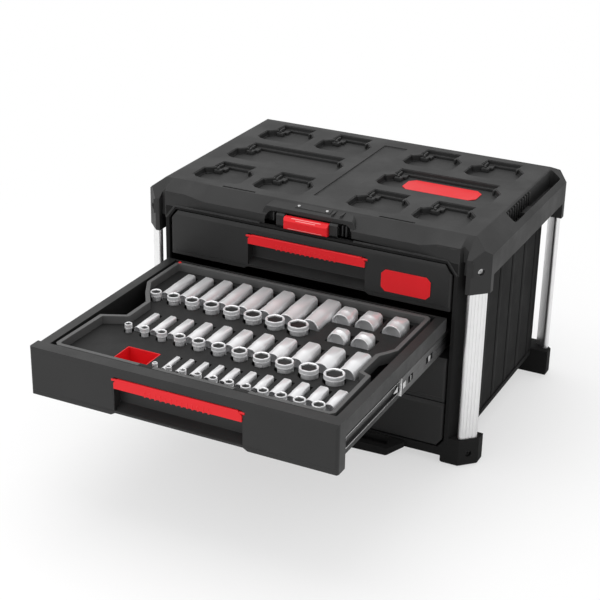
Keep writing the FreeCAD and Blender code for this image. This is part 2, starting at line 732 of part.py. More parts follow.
# ---------------------------------------------------------------------------
# Posts and fasteners
# ---------------------------------------------------------------------------
def make_post(side, end):
    z0, z1 = FOOT_TOP_Z - POST_BITE, CUP_Z + POST_BITE
    post = post_solid(side, end, z0, z1)
    out = corner_out(side, end)
    along = V(-out.y, out.x, 0)
    grooves = []
    for index in range(FLUTES):
        offset = (index - (FLUTES - 1) / 2) * (POST_LONG - POST_THICK) / (FLUTES - 1)
        start = post_center(side, end) + along * offset + out * (POST_THICK / 2 + FLUTE_OUT)
        start.z = z0 - PAST
        grooves.append(rod(FLUTE_R, start, V(0, 0, 1), z1 - z0 + 2 * PAST))
    return cut(post, grooves)


def screw(start, direction):
    """Pan-head screw; the head stands at start, the shank runs along direction."""
    head = rod(SCREW_HEAD_R, start, direction, SCREW_HEAD_HIGH)
    shank = rod(SCREW_SHANK_R, start + direction * SCREW_HEAD_HIGH, direction, SCREW_SHANK_LONG)
    recess = rod(SCREW_SHANK_R, start - direction * PAST, direction, SCREW_HEAD_HIGH / 2 + PAST)
    return head.fuse(shank).cut(recess)


def make_corner_screws(z):
    """Screws in the cut corners of the base or the cover."""
    screws = []
    for side, end in corner_signs():
        out = corner_out(side, end)
        screws.append(screw(corner_face(side, end, z) - out * SCREW_SINK, out * -1))
    return Part.makeCompound(screws)


def make_slide_screws():
    """Low heads that hold the outer slide members to the rails."""
    span = SLIDE_REAR_Y - SLIDE_FRONT_Y
    screws = []
    for number in range(1, DRAWER_COUNT + 1):
        for share in RIVET_SHARES:
            start = V(SLIDE_OUT_X - SLIDE_SHEET - RIVET_HIGH, SLIDE_FRONT_Y + span * share,
                      face_z(number) + SLIDE_LIFT)
            screws += both(rod(RIVET_R, start, V(1, 0, 0), RIVET_HIGH))
    return Part.makeCompound(screws)


# ---------------------------------------------------------------------------
# Slides
# ---------------------------------------------------------------------------
def channel(web_x, lip_x, height, z):
    """Outline of a C-shaped member: web at web_x, lips reaching to lip_x."""
    step = SLIDE_SHEET if lip_x < web_x else -SLIDE_SHEET
    h = height / 2
    t = SLIDE_SHEET
    return [(web_x, z - h), (web_x, z + h), (lip_x, z + h), (lip_x, z + h - t),
            (web_x - step, z + h - t), (web_x - step, z - h + t), (lip_x, z - h + t),
            (lip_x, z - h)]


def slide_member(number, kind, shift):
    z = face_z(number) + SLIDE_LIFT
    outer, middle, inner = SLIDE_HEIGHTS
    case_leg, middle_leg, drawer_leg = SLIDE_LEGS
    web = SLIDE_OUT_X - SLIDE_STAGGER
    outlines = {"case": channel(SLIDE_OUT_X, SLIDE_OUT_X - case_leg, outer, z),
                "middle": channel(web, web - middle_leg, middle, z),
                "drawer": channel(BOX_HALF, BOX_HALF + drawer_leg, inner, z)}
    bar = prism_y(outlines[kind], SLIDE_FRONT_Y, SLIDE_REAR_Y)
    bar.translate(V(0, shift, 0))
    return Part.makeCompound(both(bar))


# ---------------------------------------------------------------------------
# Drawers
# ---------------------------------------------------------------------------
def make_drawer_box(number):
    z = face_z(number)
    front, rear = FRONT_Y + FACE_THICK, BOX_REAR_Y
    low, high = z + BOX_LIFT, z + FACE_HEIGHT - BOX_DROP
    ledge = z + SLIDE_LIFT + SLIDE_HEIGHTS[0] / 2 + RIM_RISE
    tub = box(-BOX_HALF, BOX_HALF, front, rear, low, high)
    rim = box(-RIM_HALF, RIM_HALF, front, rear, ledge, high)
    room = box(-BOX_HALF + BOX_WALL, BOX_HALF - BOX_WALL, front + BOX_WALL, rear - BOX_WALL,
               low + BOX_FLOOR, high + PAST)
    under = box(BOX_HALF, RIM_HALF - RIM_EDGE, front - PAST, rear - RIM_REAR_STOP, ledge - PAST,
                high - RIM_EDGE)
    passes = prism_y(opening_outline(-SLIDE_GAP), front, rear)
    return cut(fuse([tub, rim]).common(passes), [room] + both(under))


def face_outline(number):
    """Front outline of a drawer face with its cut corners and finger notch."""
    z0 = face_z(number)
    z1 = z0 + FACE_HEIGHT
    half = FACE_WIDTH / 2
    (cx, cz), (low_x, low_z) = FACE_CORNER, FACE_LOW_CORNER
    notch = [(STRIP_HALF, z0 + NOTCH_RISE), (STRIP_HALF + NOTCH_FLARE, z0)]
    low = [(half - low_x, z0), (half, z0 + low_z)] if number == DRAWER_COUNT else [(half, z0)]
    high = [(half, z1 - cz), (half - cx, z1)] if number == 1 else [(half, z1)]
    right = notch + low + high
    return right + [(-x, z) for x, z in reversed(right)]


def front_profile(z):
    """Side view of a drawer face: a low step, a flat and a top that leans back."""
    y, back = FRONT_Y, FRONT_Y + FACE_THICK
    deep, rise = FACE_STEP
    top = z + FACE_HEIGHT + PAST
    return [(y + deep, z - PAST), (y + deep, z + rise), (y, z + rise + deep),
            (y, z + FACE_HEIGHT - FACE_CREASE_DROP), (y + FACE_LEAN, top), (back, top),
            (back, z - PAST)]


def finger_pocket(z):
    """Finger recess below the pull latch: its ramp, its bevelled lip and its room."""
    y, half, low = FRONT_Y, STRIP_HALF, z + POCKET_LIP
    ramp_y, ramp_z = POCKET_RAMP
    bevel_y, bevel_z = POCKET_BEVEL
    room = box(-half, half, y - PAST, y + POCKET_DEEP, low, z + STRIP_TOP + STRIP_GAP)
    ramp = prism_x([(y + ramp_y, low), (y + POCKET_DEEP, low + ramp_z), (y + POCKET_DEEP, low)],
                   -half, half)
    lip = prism_x([(y - PAST, low - bevel_z), (y + bevel_y, low), (y - PAST, low)], -half, half)
    return [room.cut(ramp), lip]


def make_drawer_front(number):
    z = face_z(number)
    blank = prism_y(face_outline(number), FRONT_Y, FRONT_Y + FACE_THICK)
    panel = blank.common(prism_x(front_profile(z), -FACE_WIDTH, FACE_WIDTH))
    ends = [e for e in panel.Edges if is_along(e, V(0, 0, 1))
            and abs(abs(e.BoundBox.Center.x) - FACE_WIDTH / 2) < 0.1
            and e.BoundBox.Center.y < FRONT_Y + FACE_LEAN and e.Length > FACE_HEIGHT / 4]
    panel = panel.makeFillet(FACE_ROUND, ends)
    axle = trunnion_center(number)
    reach = STRIP_HALF + TRUNNION_LONG + STRIP_END_GAP
    hole = rod(TRUNNION_R + RUN_GAP, V(-reach, axle.y, axle.z), V(1, 0, 0), 2 * reach)
    return cut(panel, finger_pocket(z) + [hole])


def trunnion_center(number):
    return V(0, FRONT_Y - STRIP_PROUD + STRIP_THICK / 2, face_z(number) + STRIP_TOP - AXLE_DROP)


def make_pull_latch(number):
    """Ribbed strip that swings on two trunnions to free the drawer."""
    z1 = face_z(number) + STRIP_TOP
    z0 = z1 - STRIP_HEIGHT
    front, back = FRONT_Y - STRIP_PROUD, FRONT_Y - STRIP_PROUD + STRIP_THICK
    half = STRIP_HALF - STRIP_END_GAP
    corner_x, corner_z = STRIP_CORNER
    strip = prism_y(both_sides([(half, z0), (half, z1 - corner_z), (half - corner_x, z1)]), front, back)
    low, high = STRIP_BEVEL, STRIP_BACK_BEVEL
    bevel = prism_x([(front - PAST, z1 - low), (front + low, z1 + PAST), (front - PAST, z1 + PAST)],
                    -half, half)
    rear = prism_x([(back + PAST, z1 - high), (back - high, z1 + PAST), (back + PAST, z1 + PAST)],
                   -half, half)
    first = -(RIB_COUNT - 1) / 2 * RIB_PITCH
    ribs = [rod(RIB_R, V(first + RIB_PITCH * i, front + RIB_R - RIB_PROUD, z0 - RIB_DROP),
                V(0, 0, 1), RIB_LONG) for i in range(RIB_COUNT)]
    axle = trunnion_center(number)
    reach = STRIP_HALF + TRUNNION_LONG
    pin = rod(TRUNNION_R, V(-reach, axle.y, axle.z), V(1, 0, 0), 2 * reach)
    return fuse([strip.cut([bevel, rear]), pin] + ribs)


def clipped_plate(x_range, y_range, corner):
    """Rectangle with four clipped corners, as (first, second) points."""
    (x0, x1), (y0, y1), c = x_range, y_range, corner
    return [(x0 + c, y0), (x1 - c, y0), (x1, y0 + c), (x1, y1 - c), (x1 - c, y1), (x0 + c, y1),
            (x0, y1 - c), (x0, y0 + c)]


def make_face_badge():
    """Blank plate on the top drawer's face."""
    z = face_z(1)
    right = FACE_WIDTH / 2 - BADGE_SIDE
    low, high = BADGE_INSET
    outline = clipped_plate((right - BADGE_LONG, right), (z + low, z + FACE_HEIGHT - high), BADGE_CORNER)
    return prism_y(outline, FRONT_Y - PLATE_THICK, FRONT_Y)


# ---------------------------------------------------------------------------
# Latches and label
# ---------------------------------------------------------------------------
def latch_axis():
    return V(0, FRONT_Y + LATCH_BACK, HEIGHT - ARCH_DROP - LATCH_DROP)


def make_top_latch():
    """Flap that swings out and up on the latch pin."""
    pivot = latch_axis()
    z1 = pivot.z + LATCH_RISE
    z0 = z1 - LATCH_HEIGHT
    front, back = FRONT_Y - LATCH_PROUD, FRONT_Y - LATCH_PROUD + LATCH_THICK
    slope, bevel, rear_bevel = LATCH_SLOPE, LATCH_BEVEL, LATCH_REAR_BEVEL
    profile = [(front, z0 + bevel), (front + bevel, z0), (back, z0), (back, z1 - rear_bevel),
               (back - rear_bevel, z1), (front + slope, z1), (front, z1 - slope)]
    flap = prism_x(profile, -LATCH_HALF, LATCH_HALF)
    flap = round_edges(flap, LATCH_ROUND,
                       lambda e: is_along(e, V(0, 0, 1)) and e.BoundBox.Center.y < front + bevel / 2)
    bore = rod(LATCH_PIN_R + RUN_GAP, pivot - V(LATCH_HALF + PAST, 0, 0), V(1, 0, 0),
               2 * (LATCH_HALF + PAST))
    return flap.cut(bore)


def make_latch_pin():
    reach = LATCH_HALF + EAR_GAP + EAR_WIDE
    return rod(LATCH_PIN_R, latch_axis() - V(reach, 0, 0), V(1, 0, 0), 2 * reach)


def make_latch_bracket():
    """Two ears in the bay that hold the latch pin."""
    pivot = latch_axis()
    inner = LATCH_HALF + EAR_GAP
    ear = box(inner, inner + EAR_WIDE, FRONT_Y + BRACKET_BACK, FRONT_Y + BAY_DEEP, pivot.z - EAR_LOW,
              pivot.z + EAR_HIGH)
    ear = round_edges(ear, LATCH_ROUND, lambda e: is_along(e, V(1, 0, 0)))
    hole = rod(LATCH_PIN_R, V(-WIDTH, pivot.y, pivot.z), V(1, 0, 0), 2 * WIDTH)
    return Part.makeCompound([piece.cut(hole) for piece in both(ear)])


def make_base_latch():
    """Lever in the nose that swings out on its pin."""
    start, length = base_latch_pin()
    front, low = FRONT_Y - NOSE_DEEP + LEVER_GAP, NOSE_LOW_Z + LEVER_GAP
    back = start.y + LEVER_BACK
    rear_top, ridge, front_top, front_edge = LEVER_TOP
    profile = [(front, low + LEVER_BEVEL), (front + LEVER_BEVEL, low), (back, low),
               (start.y + rear_top[0], start.z + rear_top[1]),
               (start.y - ridge[0], start.z + ridge[1]),
               (front + front_top[0], start.z + front_top[1]),
               (front + front_edge[0], start.z + front_edge[1])]
    lever = prism_x(profile, -BASE_LATCH_HALF, BASE_LATCH_HALF)
    return lever.cut(rod(LATCH_PIN_R + RUN_GAP, start, V(1, 0, 0), length))


def make_base_latch_pin():
    start, length = base_latch_pin()
    return rod(LATCH_PIN_R, start, V(1, 0, 0), length)


def label_ranges():
    """Extent of the cover's plate in X and in Y, inside the right-hand long recess."""
    (left, right), (near, far) = LABEL_INSET_X, LABEL_INSET_Y
    front = RECESS_Y + RECESS_STEP_Y * (RECESS_ROWS // 2)
    return ((RECESS_X[1] + left, RECESS_X[1] + RECESS_LONG + RECESS_STEP_X - right),
            (front + near, front + RECESS_WIDE - far))


def make_cover_label():
    """Blank plate in the right-hand long recess."""
    z = HEIGHT - RECESS_DEPTH
    return prism_z(clipped_plate(*label_ranges(), LABEL_CORNER), z, z + PLATE_THICK)


# ---------------------------------------------------------------------------
# Socket tray
# ---------------------------------------------------------------------------
def tray_front():
    return FRONT_Y + FACE_THICK + BOX_WALL + TRAY_GAP


def tray_rear():
    return BOX_REAR_Y - BOX_WALL - TRAY_GAP


def row_y(row):
    """Place of a row's standing sockets: near the front, near the rear or between them."""
    front, rear = tray_front() + ROW_FRONT, tray_rear() - ROW_REAR
    places = {"front": front, "middle": front + (rear - front) * ROW_MIDDLE_SHARE, "rear": rear}
    return places[row]


def scoop_run():
    """Front and rear ends of both finger scoops, just ahead of the rear row."""
    middle = row_y("rear") - SCOOP_AHEAD
    return middle - SCOOP_LONG / 2, middle + SCOOP_LONG / 2


def tray_side(deep):
    """One side of the tray outline, front to back, with its finger scoop."""
    y0, y1 = tray_front(), tray_rear()
    near, far = scoop_run()
    half, corner = TRAY_HALF, TRAY_CORNER
    return [(half - corner, y0), (half, y0 + corner), (half - corner / 3, near - 0.45 * deep),
            (half - deep, near), (half - deep, far), (half - 0.5 * deep, far + 0.75 * deep),
            (half, far + 1.7 * deep), (half, y1 - corner), (half - corner, y1)]


def tray_wire(z, inset=0.0):
    left_deep, right_deep = SCOOP_DEEP
    left = [(-x, y) for x, y in reversed(tray_side(left_deep))]
    outline = [V(x, y, z) for x, y in tray_side(right_deep) + left]
    wire = Part.makePolygon(outline + [outline[0]])
    return wire.makeOffset2D(-inset) if inset else wire


def tray_levels():
    """Underside of the insert, its surface and the top of the rim."""
    top = face_z(OPEN_DRAWER) + FACE_HEIGHT - BOX_DROP
    surface = top - TRAY_SINK
    return surface - TRAY_SLAB, surface, top


def make_tray_rim():
    _, surface, top = tray_levels()
    low = surface - TRAY_RIM_FOOT
    outer = Part.Face(tray_wire(low)).extrude(V(0, 0, top - low))
    inner = Part.Face(tray_wire(low, TRAY_RIM)).extrude(V(0, 0, top - low))
    return outer.cut(inner)


def row_limit(row):
    """How far right a row may reach: to the rim, the right scoop or the large sockets."""
    inside = TRAY_HALF - TRAY_RIM
    limits = {"rim": inside, "scoop": inside - SCOOP_DEEP[1],
              "large": min(TRAY_HALF - right - d / 2 for right, _, d, _ in LARGE_SOCKETS)}
    return limits[SOCKET_ROWS[row]["fit"]]


def row_members(row):
    """Centres and diameters of a row's standing sockets, as many as fit."""
    s = SOCKET_ROWS[row]
    x, pitch, (d, d_grow) = s["start"] - TRAY_HALF, s["pitch"], s["d"]
    members = []
    while x + DEEP_OFFSET_X + d / 2 < row_limit(row):
        members.append((x, d))
        x, pitch, d = x + pitch, pitch + s["grow"], d + d_grow
    return members


def row_room(row):
    """Distance from a row to the one behind it, or to the tray's rear."""
    rows = list(SOCKET_ROWS)
    behind = rows.index(row) + 1
    return (row_y(rows[behind]) if behind < len(rows) else tray_rear()) - row_y(row)


def socket_places():
    """Every socket as (row, kind, x, y, diameter, length)."""
    places = []
    for row, s in SOCKET_ROWS.items():
        members, y = row_members(row), row_y(row)
        spare_first, spare_last = s["spare"]
        for index, (x, d) in enumerate(members):
            share = index / max(1, len(members) - 1)
            reach = row_room(row) - spare_first - (spare_last - spare_first) * share
            start = d / 2 + SOCKET_SPACE
            places.append((row, "standing", x, y, d, STANDING_HEIGHT))
            places.append((row, "deep", x + DEEP_OFFSET_X, y + start, d, reach - start))
    for right, rear, d, length in LARGE_SOCKETS:
        places.append(("large", "deep", TRAY_HALF - right, tray_rear() - rear, d, length))
    return places


def lying_axis(d):
    """Height of a lying socket's axis: at the surface, or lower where it is large."""
    _, surface, _ = tray_levels()
    return surface + min(0.0, LYING_RISE - d / 2)


def bore_radius(d):
    return d / 2 - SOCKET_WALL * (0.5 + d / 40)


def standing_socket(x, y, d):
    _, surface, _ = tray_levels()
    top = surface + STANDING_RISE
    body = rod(d / 2, V(x, y, top - STANDING_HEIGHT), V(0, 0, 1), STANDING_HEIGHT)
    return body.cut(rod(bore_radius(d), V(x, y, top - SOCKET_BORE), V(0, 0, 1), SOCKET_BORE + PAST))


def lying_socket(x, y, d, length):
    """Deep socket on its side: slim front, full rear, tapered end."""
    z = lying_axis(d)
    along = V(0, 1, 0)
    neck, taper = SOCKET_NECK * length, SOCKET_NOSE * d
    front = rod(d / 2 * SOCKET_NECK_SLIM, V(x, y, z), along, length - neck)
    rear = rod(d / 2, V(x, y + length - neck, z), along, neck - taper)
    end = Part.makeCone(d / 2, d / 2 * SOCKET_NOSE_SLIM, taper, V(x, y + length - taper, z), along)
    bore = rod(bore_radius(d), V(x, y - PAST, z), along, SOCKET_BORE + PAST)
    return fuse([front, rear, end]).cut(bore)


def make_sockets(row, kind):
    solids = []
    for name, what, x, y, d, length in socket_places():
        if name == row and what == kind:
            solids.append(standing_socket(x, y, d) if kind == "standing"
                          else lying_socket(x, y, d, length))
    return Part.makeCompound(solids)


def bin_corner():
    return V(BIN_PLACE[0] - TRAY_HALF, tray_front() + BIN_PLACE[1], 0)


def make_parts_bin():
    _, surface, _ = tray_levels()
    p, s, t = bin_corner(), BIN_SIZE, BIN_WALL
    low = surface - BIN_DEEP
    outer = box(p.x, p.x + s, p.y, p.y + s, low, surface)
    return outer.cut(box(p.x + t, p.x + s - t, p.y + t, p.y + s - t, low + t, surface + PAST))


def make_tray_insert():
    bottom, surface, _ = tray_levels()
    floor = face_z(OPEN_DRAWER) + BOX_LIFT + BOX_FLOOR
    slab = Part.Face(tray_wire(floor, TRAY_RIM)).extrude(V(0, 0, surface - floor))
    hollow = Part.Face(tray_wire(floor, TRAY_RIM + TRAY_SKIRT)).extrude(V(0, 0, bottom - floor))
    tools = [hollow]
    for _, kind, x, y, d, length in socket_places():
        r = d / 2 + POCKET_ROOM
        if kind == "standing":
            z = surface + STANDING_RISE - STANDING_HEIGHT
            tools.append(rod(r, V(x, y, z), V(0, 0, 1), STANDING_HEIGHT))
        else:
            low = max(lying_axis(d) - d / 2, bottom + POCKET_FLOOR)
            tools.append(box(x - r, x + r, y - TROUGH_END_ROOM, y + length + TROUGH_END_ROOM,
                             low, surface + PAST))
    p = bin_corner()
    s = BIN_SIZE
    tools.append(box(p.x, p.x + s, p.y, p.y + s, floor, surface + PAST))
    return cut(slab, tools)


# ---------------------------------------------------------------------------
# Export
# ---------------------------------------------------------------------------
def open_shift(number):
    return OPEN_SHIFT if number == OPEN_DRAWER else 0.0


def all_nodes():
    nodes = {
        "case_shell": make_case_shell(),
        "base": make_base(),
        "top_cover": make_top_cover(),
        "cover_corner_screws": make_corner_screws(COVER_SCREW_Z),
        "foot_corner_screws": make_corner_screws(FOOT_SCREW_Z),
        "slide_screws": make_slide_screws(),
        "latch_bracket": make_latch_bracket(),
        "latch_pin": make_latch_pin(),
        "base_latch_pin": make_base_latch_pin(),
        "cover_label": make_cover_label(),
        "top_latch": make_top_latch(),
        "base_latch": make_base_latch(),
        "face_badge": make_face_badge(),
    }
    for side, end in corner_signs():
        name = "post_%s_%s" % ("front" if end < 0 else "rear", "left" if side < 0 else "right")
        nodes[name] = make_post(side, end)
    for number in range(1, DRAWER_COUNT + 1):
        shift = open_shift(number)
        nodes["slide_case_members_%d" % number] = slide_member(number, "case", 0)
        nodes["slide_middle_members_%d" % number] = slide_member(number, "middle", shift / 2)
        nodes["slide_drawer_members_%d" % number] = slide_member(number, "drawer", shift)
        movers = {"drawer_box_%d": make_drawer_box, "drawer_front_%d": make_drawer_front,
                  "pull_latch_%d": make_pull_latch}
        for name, maker in movers.items():
            shape = maker(number)
            shape.translate(V(0, shift, 0))
            nodes[name % number] = shape
    contents = {"tray_rim": make_tray_rim(), "tray_insert": make_tray_insert(),
                "parts_bin": make_parts_bin(), "large_sockets": make_sockets("large", "deep")}
    for row in SOCKET_ROWS:
        for kind in ("standing", "deep"):
            contents["%s_sockets_%s" % (kind, row)] = make_sockets(row, kind)
    for name, shape in contents.items():
        shape.translate(V(0, OPEN_SHIFT, 0))
        nodes[name] = shape
    return nodes


def main():
    os.makedirs("parts", exist_ok=True)
    for name, shape in all_nodes().items():
        shape.translate(V(0, ORIGIN_SHIFT_Y, 0))
        shape.exportStep(os.path.join("parts", name + ".step"))
        solids = shape.Solids
        print(name, len(solids), "solids", round(shape.Volume / 1000.0, 1), "cm3",
              "valid" if shape.isValid() else "INVALID")


main()
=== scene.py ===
import json
import math

import bmesh
import bpy
from mathutils import Matrix, Vector

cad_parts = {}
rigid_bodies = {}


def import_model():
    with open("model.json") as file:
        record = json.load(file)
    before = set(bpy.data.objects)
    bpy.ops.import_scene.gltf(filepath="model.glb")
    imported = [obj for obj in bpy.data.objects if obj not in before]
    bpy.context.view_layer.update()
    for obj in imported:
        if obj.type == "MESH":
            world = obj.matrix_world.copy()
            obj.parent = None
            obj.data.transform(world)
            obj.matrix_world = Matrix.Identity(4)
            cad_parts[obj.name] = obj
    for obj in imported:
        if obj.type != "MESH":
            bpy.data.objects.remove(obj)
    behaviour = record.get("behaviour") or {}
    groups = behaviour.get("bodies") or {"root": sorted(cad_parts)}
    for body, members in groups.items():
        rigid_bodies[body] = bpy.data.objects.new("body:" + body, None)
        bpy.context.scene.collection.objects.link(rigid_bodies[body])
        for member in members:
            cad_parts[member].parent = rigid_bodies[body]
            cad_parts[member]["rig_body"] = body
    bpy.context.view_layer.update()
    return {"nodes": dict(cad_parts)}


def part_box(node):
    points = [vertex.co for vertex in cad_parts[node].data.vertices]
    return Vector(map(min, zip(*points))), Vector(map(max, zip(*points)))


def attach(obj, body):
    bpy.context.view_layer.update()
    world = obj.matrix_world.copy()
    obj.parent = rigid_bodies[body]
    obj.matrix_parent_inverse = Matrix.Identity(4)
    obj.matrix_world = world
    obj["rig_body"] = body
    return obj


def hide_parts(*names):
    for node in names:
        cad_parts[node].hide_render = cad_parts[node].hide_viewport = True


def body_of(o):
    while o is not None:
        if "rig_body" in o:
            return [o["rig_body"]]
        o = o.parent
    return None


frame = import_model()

# ---------------------------------------------------------------------------
# Sizes, in millimetres in the frame of the CAD model; a mesh takes them times MM
# ---------------------------------------------------------------------------
MM = 0.001
X, Y, Z = range(3)
LOW, HIGH = range(2)


def side_of(node_name, end, axis):
    """Where a CAD node starts or ends along an axis, to a thousandth of a millimetre."""
    return round(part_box(node_name)[end][axis] / MM, 3)


FRONT = side_of("drawer_front_1", LOW, Y)
TOP = side_of("top_cover", HIGH, Z)
CASE_SIDE = side_of("case_shell", HIGH, X)
RECESS_FLOOR = side_of("cover_label", LOW, Z)
LATCH_FRONT = side_of("top_latch", LOW, Y)
LATCH_TOP = side_of("top_latch", HIGH, Z)

# open drawer, its tray and its slides
DRAWER_FRONT = side_of("drawer_front_2", LOW, Y)
TRAY_FRONT = side_of("tray_rim", LOW, Y)
TRAY_TOP = side_of("tray_rim", HIGH, Z)
TRAY_SURFACE = side_of("tray_insert", HIGH, Z)
INNER_SIDE = side_of("slide_drawer_members_2", HIGH, X)
MEMBER_SIDE = side_of("slide_middle_members_2", HIGH, X)
MEMBER_FRONT = side_of("slide_middle_members_2", LOW, Y)
SLIDE_MIDDLE = sum(side_of("slide_middle_members_2", end, Z) for end in (LOW, HIGH)) / 2

# sockets: the standing ones' height, how far a lying one is behind and beside
# its standing one, and how far it may rise out of the tray
STANDING_TOP = side_of("standing_sockets_rear", HIGH, Z)
STANDING_HIGH = STANDING_TOP - side_of("standing_sockets_rear", LOW, Z)
SOCKET_SPACE = 2.0
DEEP_OFFSET = 9.0
LYING_RISE = 14.0
# first x, pitch and its growth, count, first diameter and its growth, place
# behind the tray's front and how far back the deep sockets reach
SOCKET_ROWS = {
    "rear": dict(x=-181.0, pitch=30.0, grow=1.15, count=8, d=(17.0, 1.86), y=217.0, reach=(89.0, 101.0)),
    "middle": dict(x=-157.0, pitch=26.6, grow=1.2, count=11, d=(11.0, 1.8), y=104.0, reach=(62.0, 77.0)),
    "front": dict(x=-60.5, pitch=21.2, grow=0.68, count=11, d=(7.5, 1.05), y=17.5, reach=(46.0, 57.0)),
}
# x, place behind the tray's front, diameter and length
LARGE_SOCKETS = ((94.0, 271.0, 30.0, 36.0), (131.0, 271.0, 32.0, 39.0), (173.0, 271.0, 31.0, 39.0),
                 (114.5, 211.0, 28.5, 26.0), (150.5, 213.0, 30.0, 28.0))


# ---------------------------------------------------------------------------
# Mesh helpers
# ---------------------------------------------------------------------------
CRISP = math.radians(32)
ROUNDED = math.radians(38)
FLAT = math.radians(0.5)
WELD = 0.01 * MM


def shade(bm):
    """Smooth faces, with the sharper edges kept crisp."""
    for face in bm.faces:
        face.smooth = True
    for edge in bm.edges:
        edge.smooth = len(edge.link_faces) == 2 and edge.calc_face_angle(0.0) < CRISP


def add_piece(name, bm, body, finish):
    """Turns a bmesh into a piece that rides on a body."""
    shade(bm)
    mesh = bpy.data.meshes.new(name)
    bm.to_mesh(mesh)
    bm.free()
    piece = bpy.data.objects.new(name, mesh)
    bpy.context.scene.collection.objects.link(piece)
    mesh.materials.append(finish)
    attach(piece, body)
    return piece


def has_room(edge, least):
    """True where neither end of an edge meets an edge too short to be rounded."""
    return all(near.calc_length() > least for end in edge.verts for near in end.link_edges)


def soften(node_name, finish, width):
    """Copy of a CAD node with its loose triangles merged and its sharp edges rounded."""
    source = frame["nodes"][node_name]
    bm = bmesh.new()
    bm.from_mesh(source.data)
    bmesh.ops.remove_doubles(bm, verts=bm.verts, dist=WELD)
    bmesh.ops.dissolve_limit(bm, angle_limit=FLAT, verts=bm.verts, edges=bm.edges)
    edges = [e for e in bm.edges if len(e.link_faces) == 2 and e.calc_face_angle(0.0) > ROUNDED
             and has_room(e, 2.1 * width)]
    bmesh.ops.bevel(bm, geom=edges, offset=width, offset_type="OFFSET", segments=2, profile=0.5,
                    affect="EDGES", material=-1, clamp_overlap=False)
    bmesh.ops.triangulate(bm, faces=[f for f in bm.faces if len(f.verts) > 4], ngon_method="EAR_CLIP")
    piece = add_piece(node_name + "_finish", bm, body_of(source)[0], finish)
    flats = piece.modifiers.new("flat_faces", "WEIGHTED_NORMAL")
    flats.keep_sharp = True
    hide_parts(node_name)


def moved(span, by):
    """A range moved along its axis."""
    return [end + by for end in span]


def outward(side, start, span):
    """Range of X counted outwards from a distance, on one side of the middle."""
    return sorted(side * (start + end) for end in span)


def block(bm, x, y, z, round_by):
    """Box between pairs of millimetres, with rounded edges."""
    made = bmesh.ops.create_cube(bm, size=1.0)["verts"]
    for vert in made:
        for axis, (low, high) in enumerate((x, y, z)):
            vert.co[axis] = (low if vert.co[axis] < 0 else high) * MM
    edges = list({e for v in made for e in v.link_edges})
    bmesh.ops.bevel(bm, geom=edges, offset=round_by * MM, offset_type="OFFSET", segments=2,
                    profile=0.5, affect="EDGES", material=-1)


def prism(bm, outline, span, axes):
    """Outline in millimetres on two axes, raised over a range of the third."""
    first, second, up = axes
    low, high = span
    verts = []
    for a, b in outline:
        place = [0.0, 0.0, 0.0]
        place[first], place[second], place[up] = a * MM, b * MM, low * MM
        verts.append(bm.verts.new(place))
    bottom = bm.faces.new(verts)
    made = bmesh.ops.extrude_face_region(bm, geom=[bottom])["geom"]
    lift = Vector([(high - low) * MM if axis == up else 0.0 for axis in range(3)])
    bmesh.ops.translate(bm, vec=lift, verts=[v for v in made if isinstance(v, bmesh.types.BMVert)])
    bmesh.ops.recalc_face_normals(bm, faces=bm.faces)


def inset_outline(points, depth):
    """The same outline moved inwards, corner by corner."""
    area = sum(a[0] * b[1] - b[0] * a[1] for a, b in zip(points, points[1:] + points[:1]))
    turn = 1.0 if area > 0 else -1.0
    inner = []
    for before, here, after in zip(points[-1:] + points[:-1], points, points[1:] + points[:1]):
        one = (Vector(here) - Vector(before)).normalized()
        two = (Vector(after) - Vector(here)).normalized()
        normals = [Vector((-run.y, run.x)) * turn for run in (one, two)]
        middle = (normals[0] + normals[1]).normalized()
        inner.append(tuple(Vector(here) + middle * depth / max(0.35, middle.dot(normals[0]))))
    return inner


def ring(bm, outline, depth, low, high):
    """Wall of one thickness just inside an outline."""
    inner = inset_outline(outline, depth)
    count = len(outline)
    levels = [[bm.verts.new((x * MM, y * MM, z * MM)) for x, y in points]
              for points, z in ((outline, low), (outline, high), (inner, high), (inner, low))]
    for one, two in zip(levels, levels[1:] + levels[:1]):
        for i in range(count):
            bm.faces.new((one[i], one[(i + 1) % count], two[(i + 1) % count], two[i]))
    bmesh.ops.recalc_face_normals(bm, faces=bm.faces)


def peg(bm, x, y, span, radius):
    """Short upright round peg with a chamfered top, in millimetres."""
    high, edge = span[1] - span[0], 0.25 * radius
    profile = [(0.0, 0.0), (radius, 0.0), (radius, high - edge), (radius - edge, high), (0.0, high)]
    lathe(bm, profile, 24, Matrix.Translation((x * MM, y * MM, span[0] * MM)))


def lathe(bm, profile, segments, place, shaped=()):
    """Spins (radius, height) points in millimetres round the Z axis of a place.

    shaped lists (radius, height, outline) of the rings that are not round.
    """
    local = bmesh.new()
    chain = [local.verts.new((r * MM, 0, z * MM)) for r, z in profile]
    for a, b in zip(chain, chain[1:]):
        local.edges.new((a, b))
    bmesh.ops.spin(local, geom=local.verts[:] + local.edges[:], cent=(0, 0, 0), axis=(0, 0, 1),
                   angle=math.tau, steps=segments, use_merge=True)
    bmesh.ops.remove_doubles(local, verts=local.verts, dist=0.001 * MM)
    near = 0.02 * MM
    for radius, height, outline in shaped:
        for v in local.verts:
            if abs(v.co.xy.length - radius * MM) < near and abs(v.co.z - height * MM) < near:
                v.co.xy *= outline(math.atan2(v.co.y, v.co.x))
    bmesh.ops.recalc_face_normals(local, faces=local.faces)
    bmesh.ops.transform(local, matrix=place, verts=local.verts)
    spun = bpy.data.meshes.new("spun")
    local.to_mesh(spun)
    local.free()
    bm.from_mesh(spun)
    bpy.data.meshes.remove(spun)


# outlines of a ring that is not round, as the share of its radius at an angle
def square_hole(angle):
    return 1.0 / max(abs(math.cos(angle)), abs(math.sin(angle))) ** 0.9


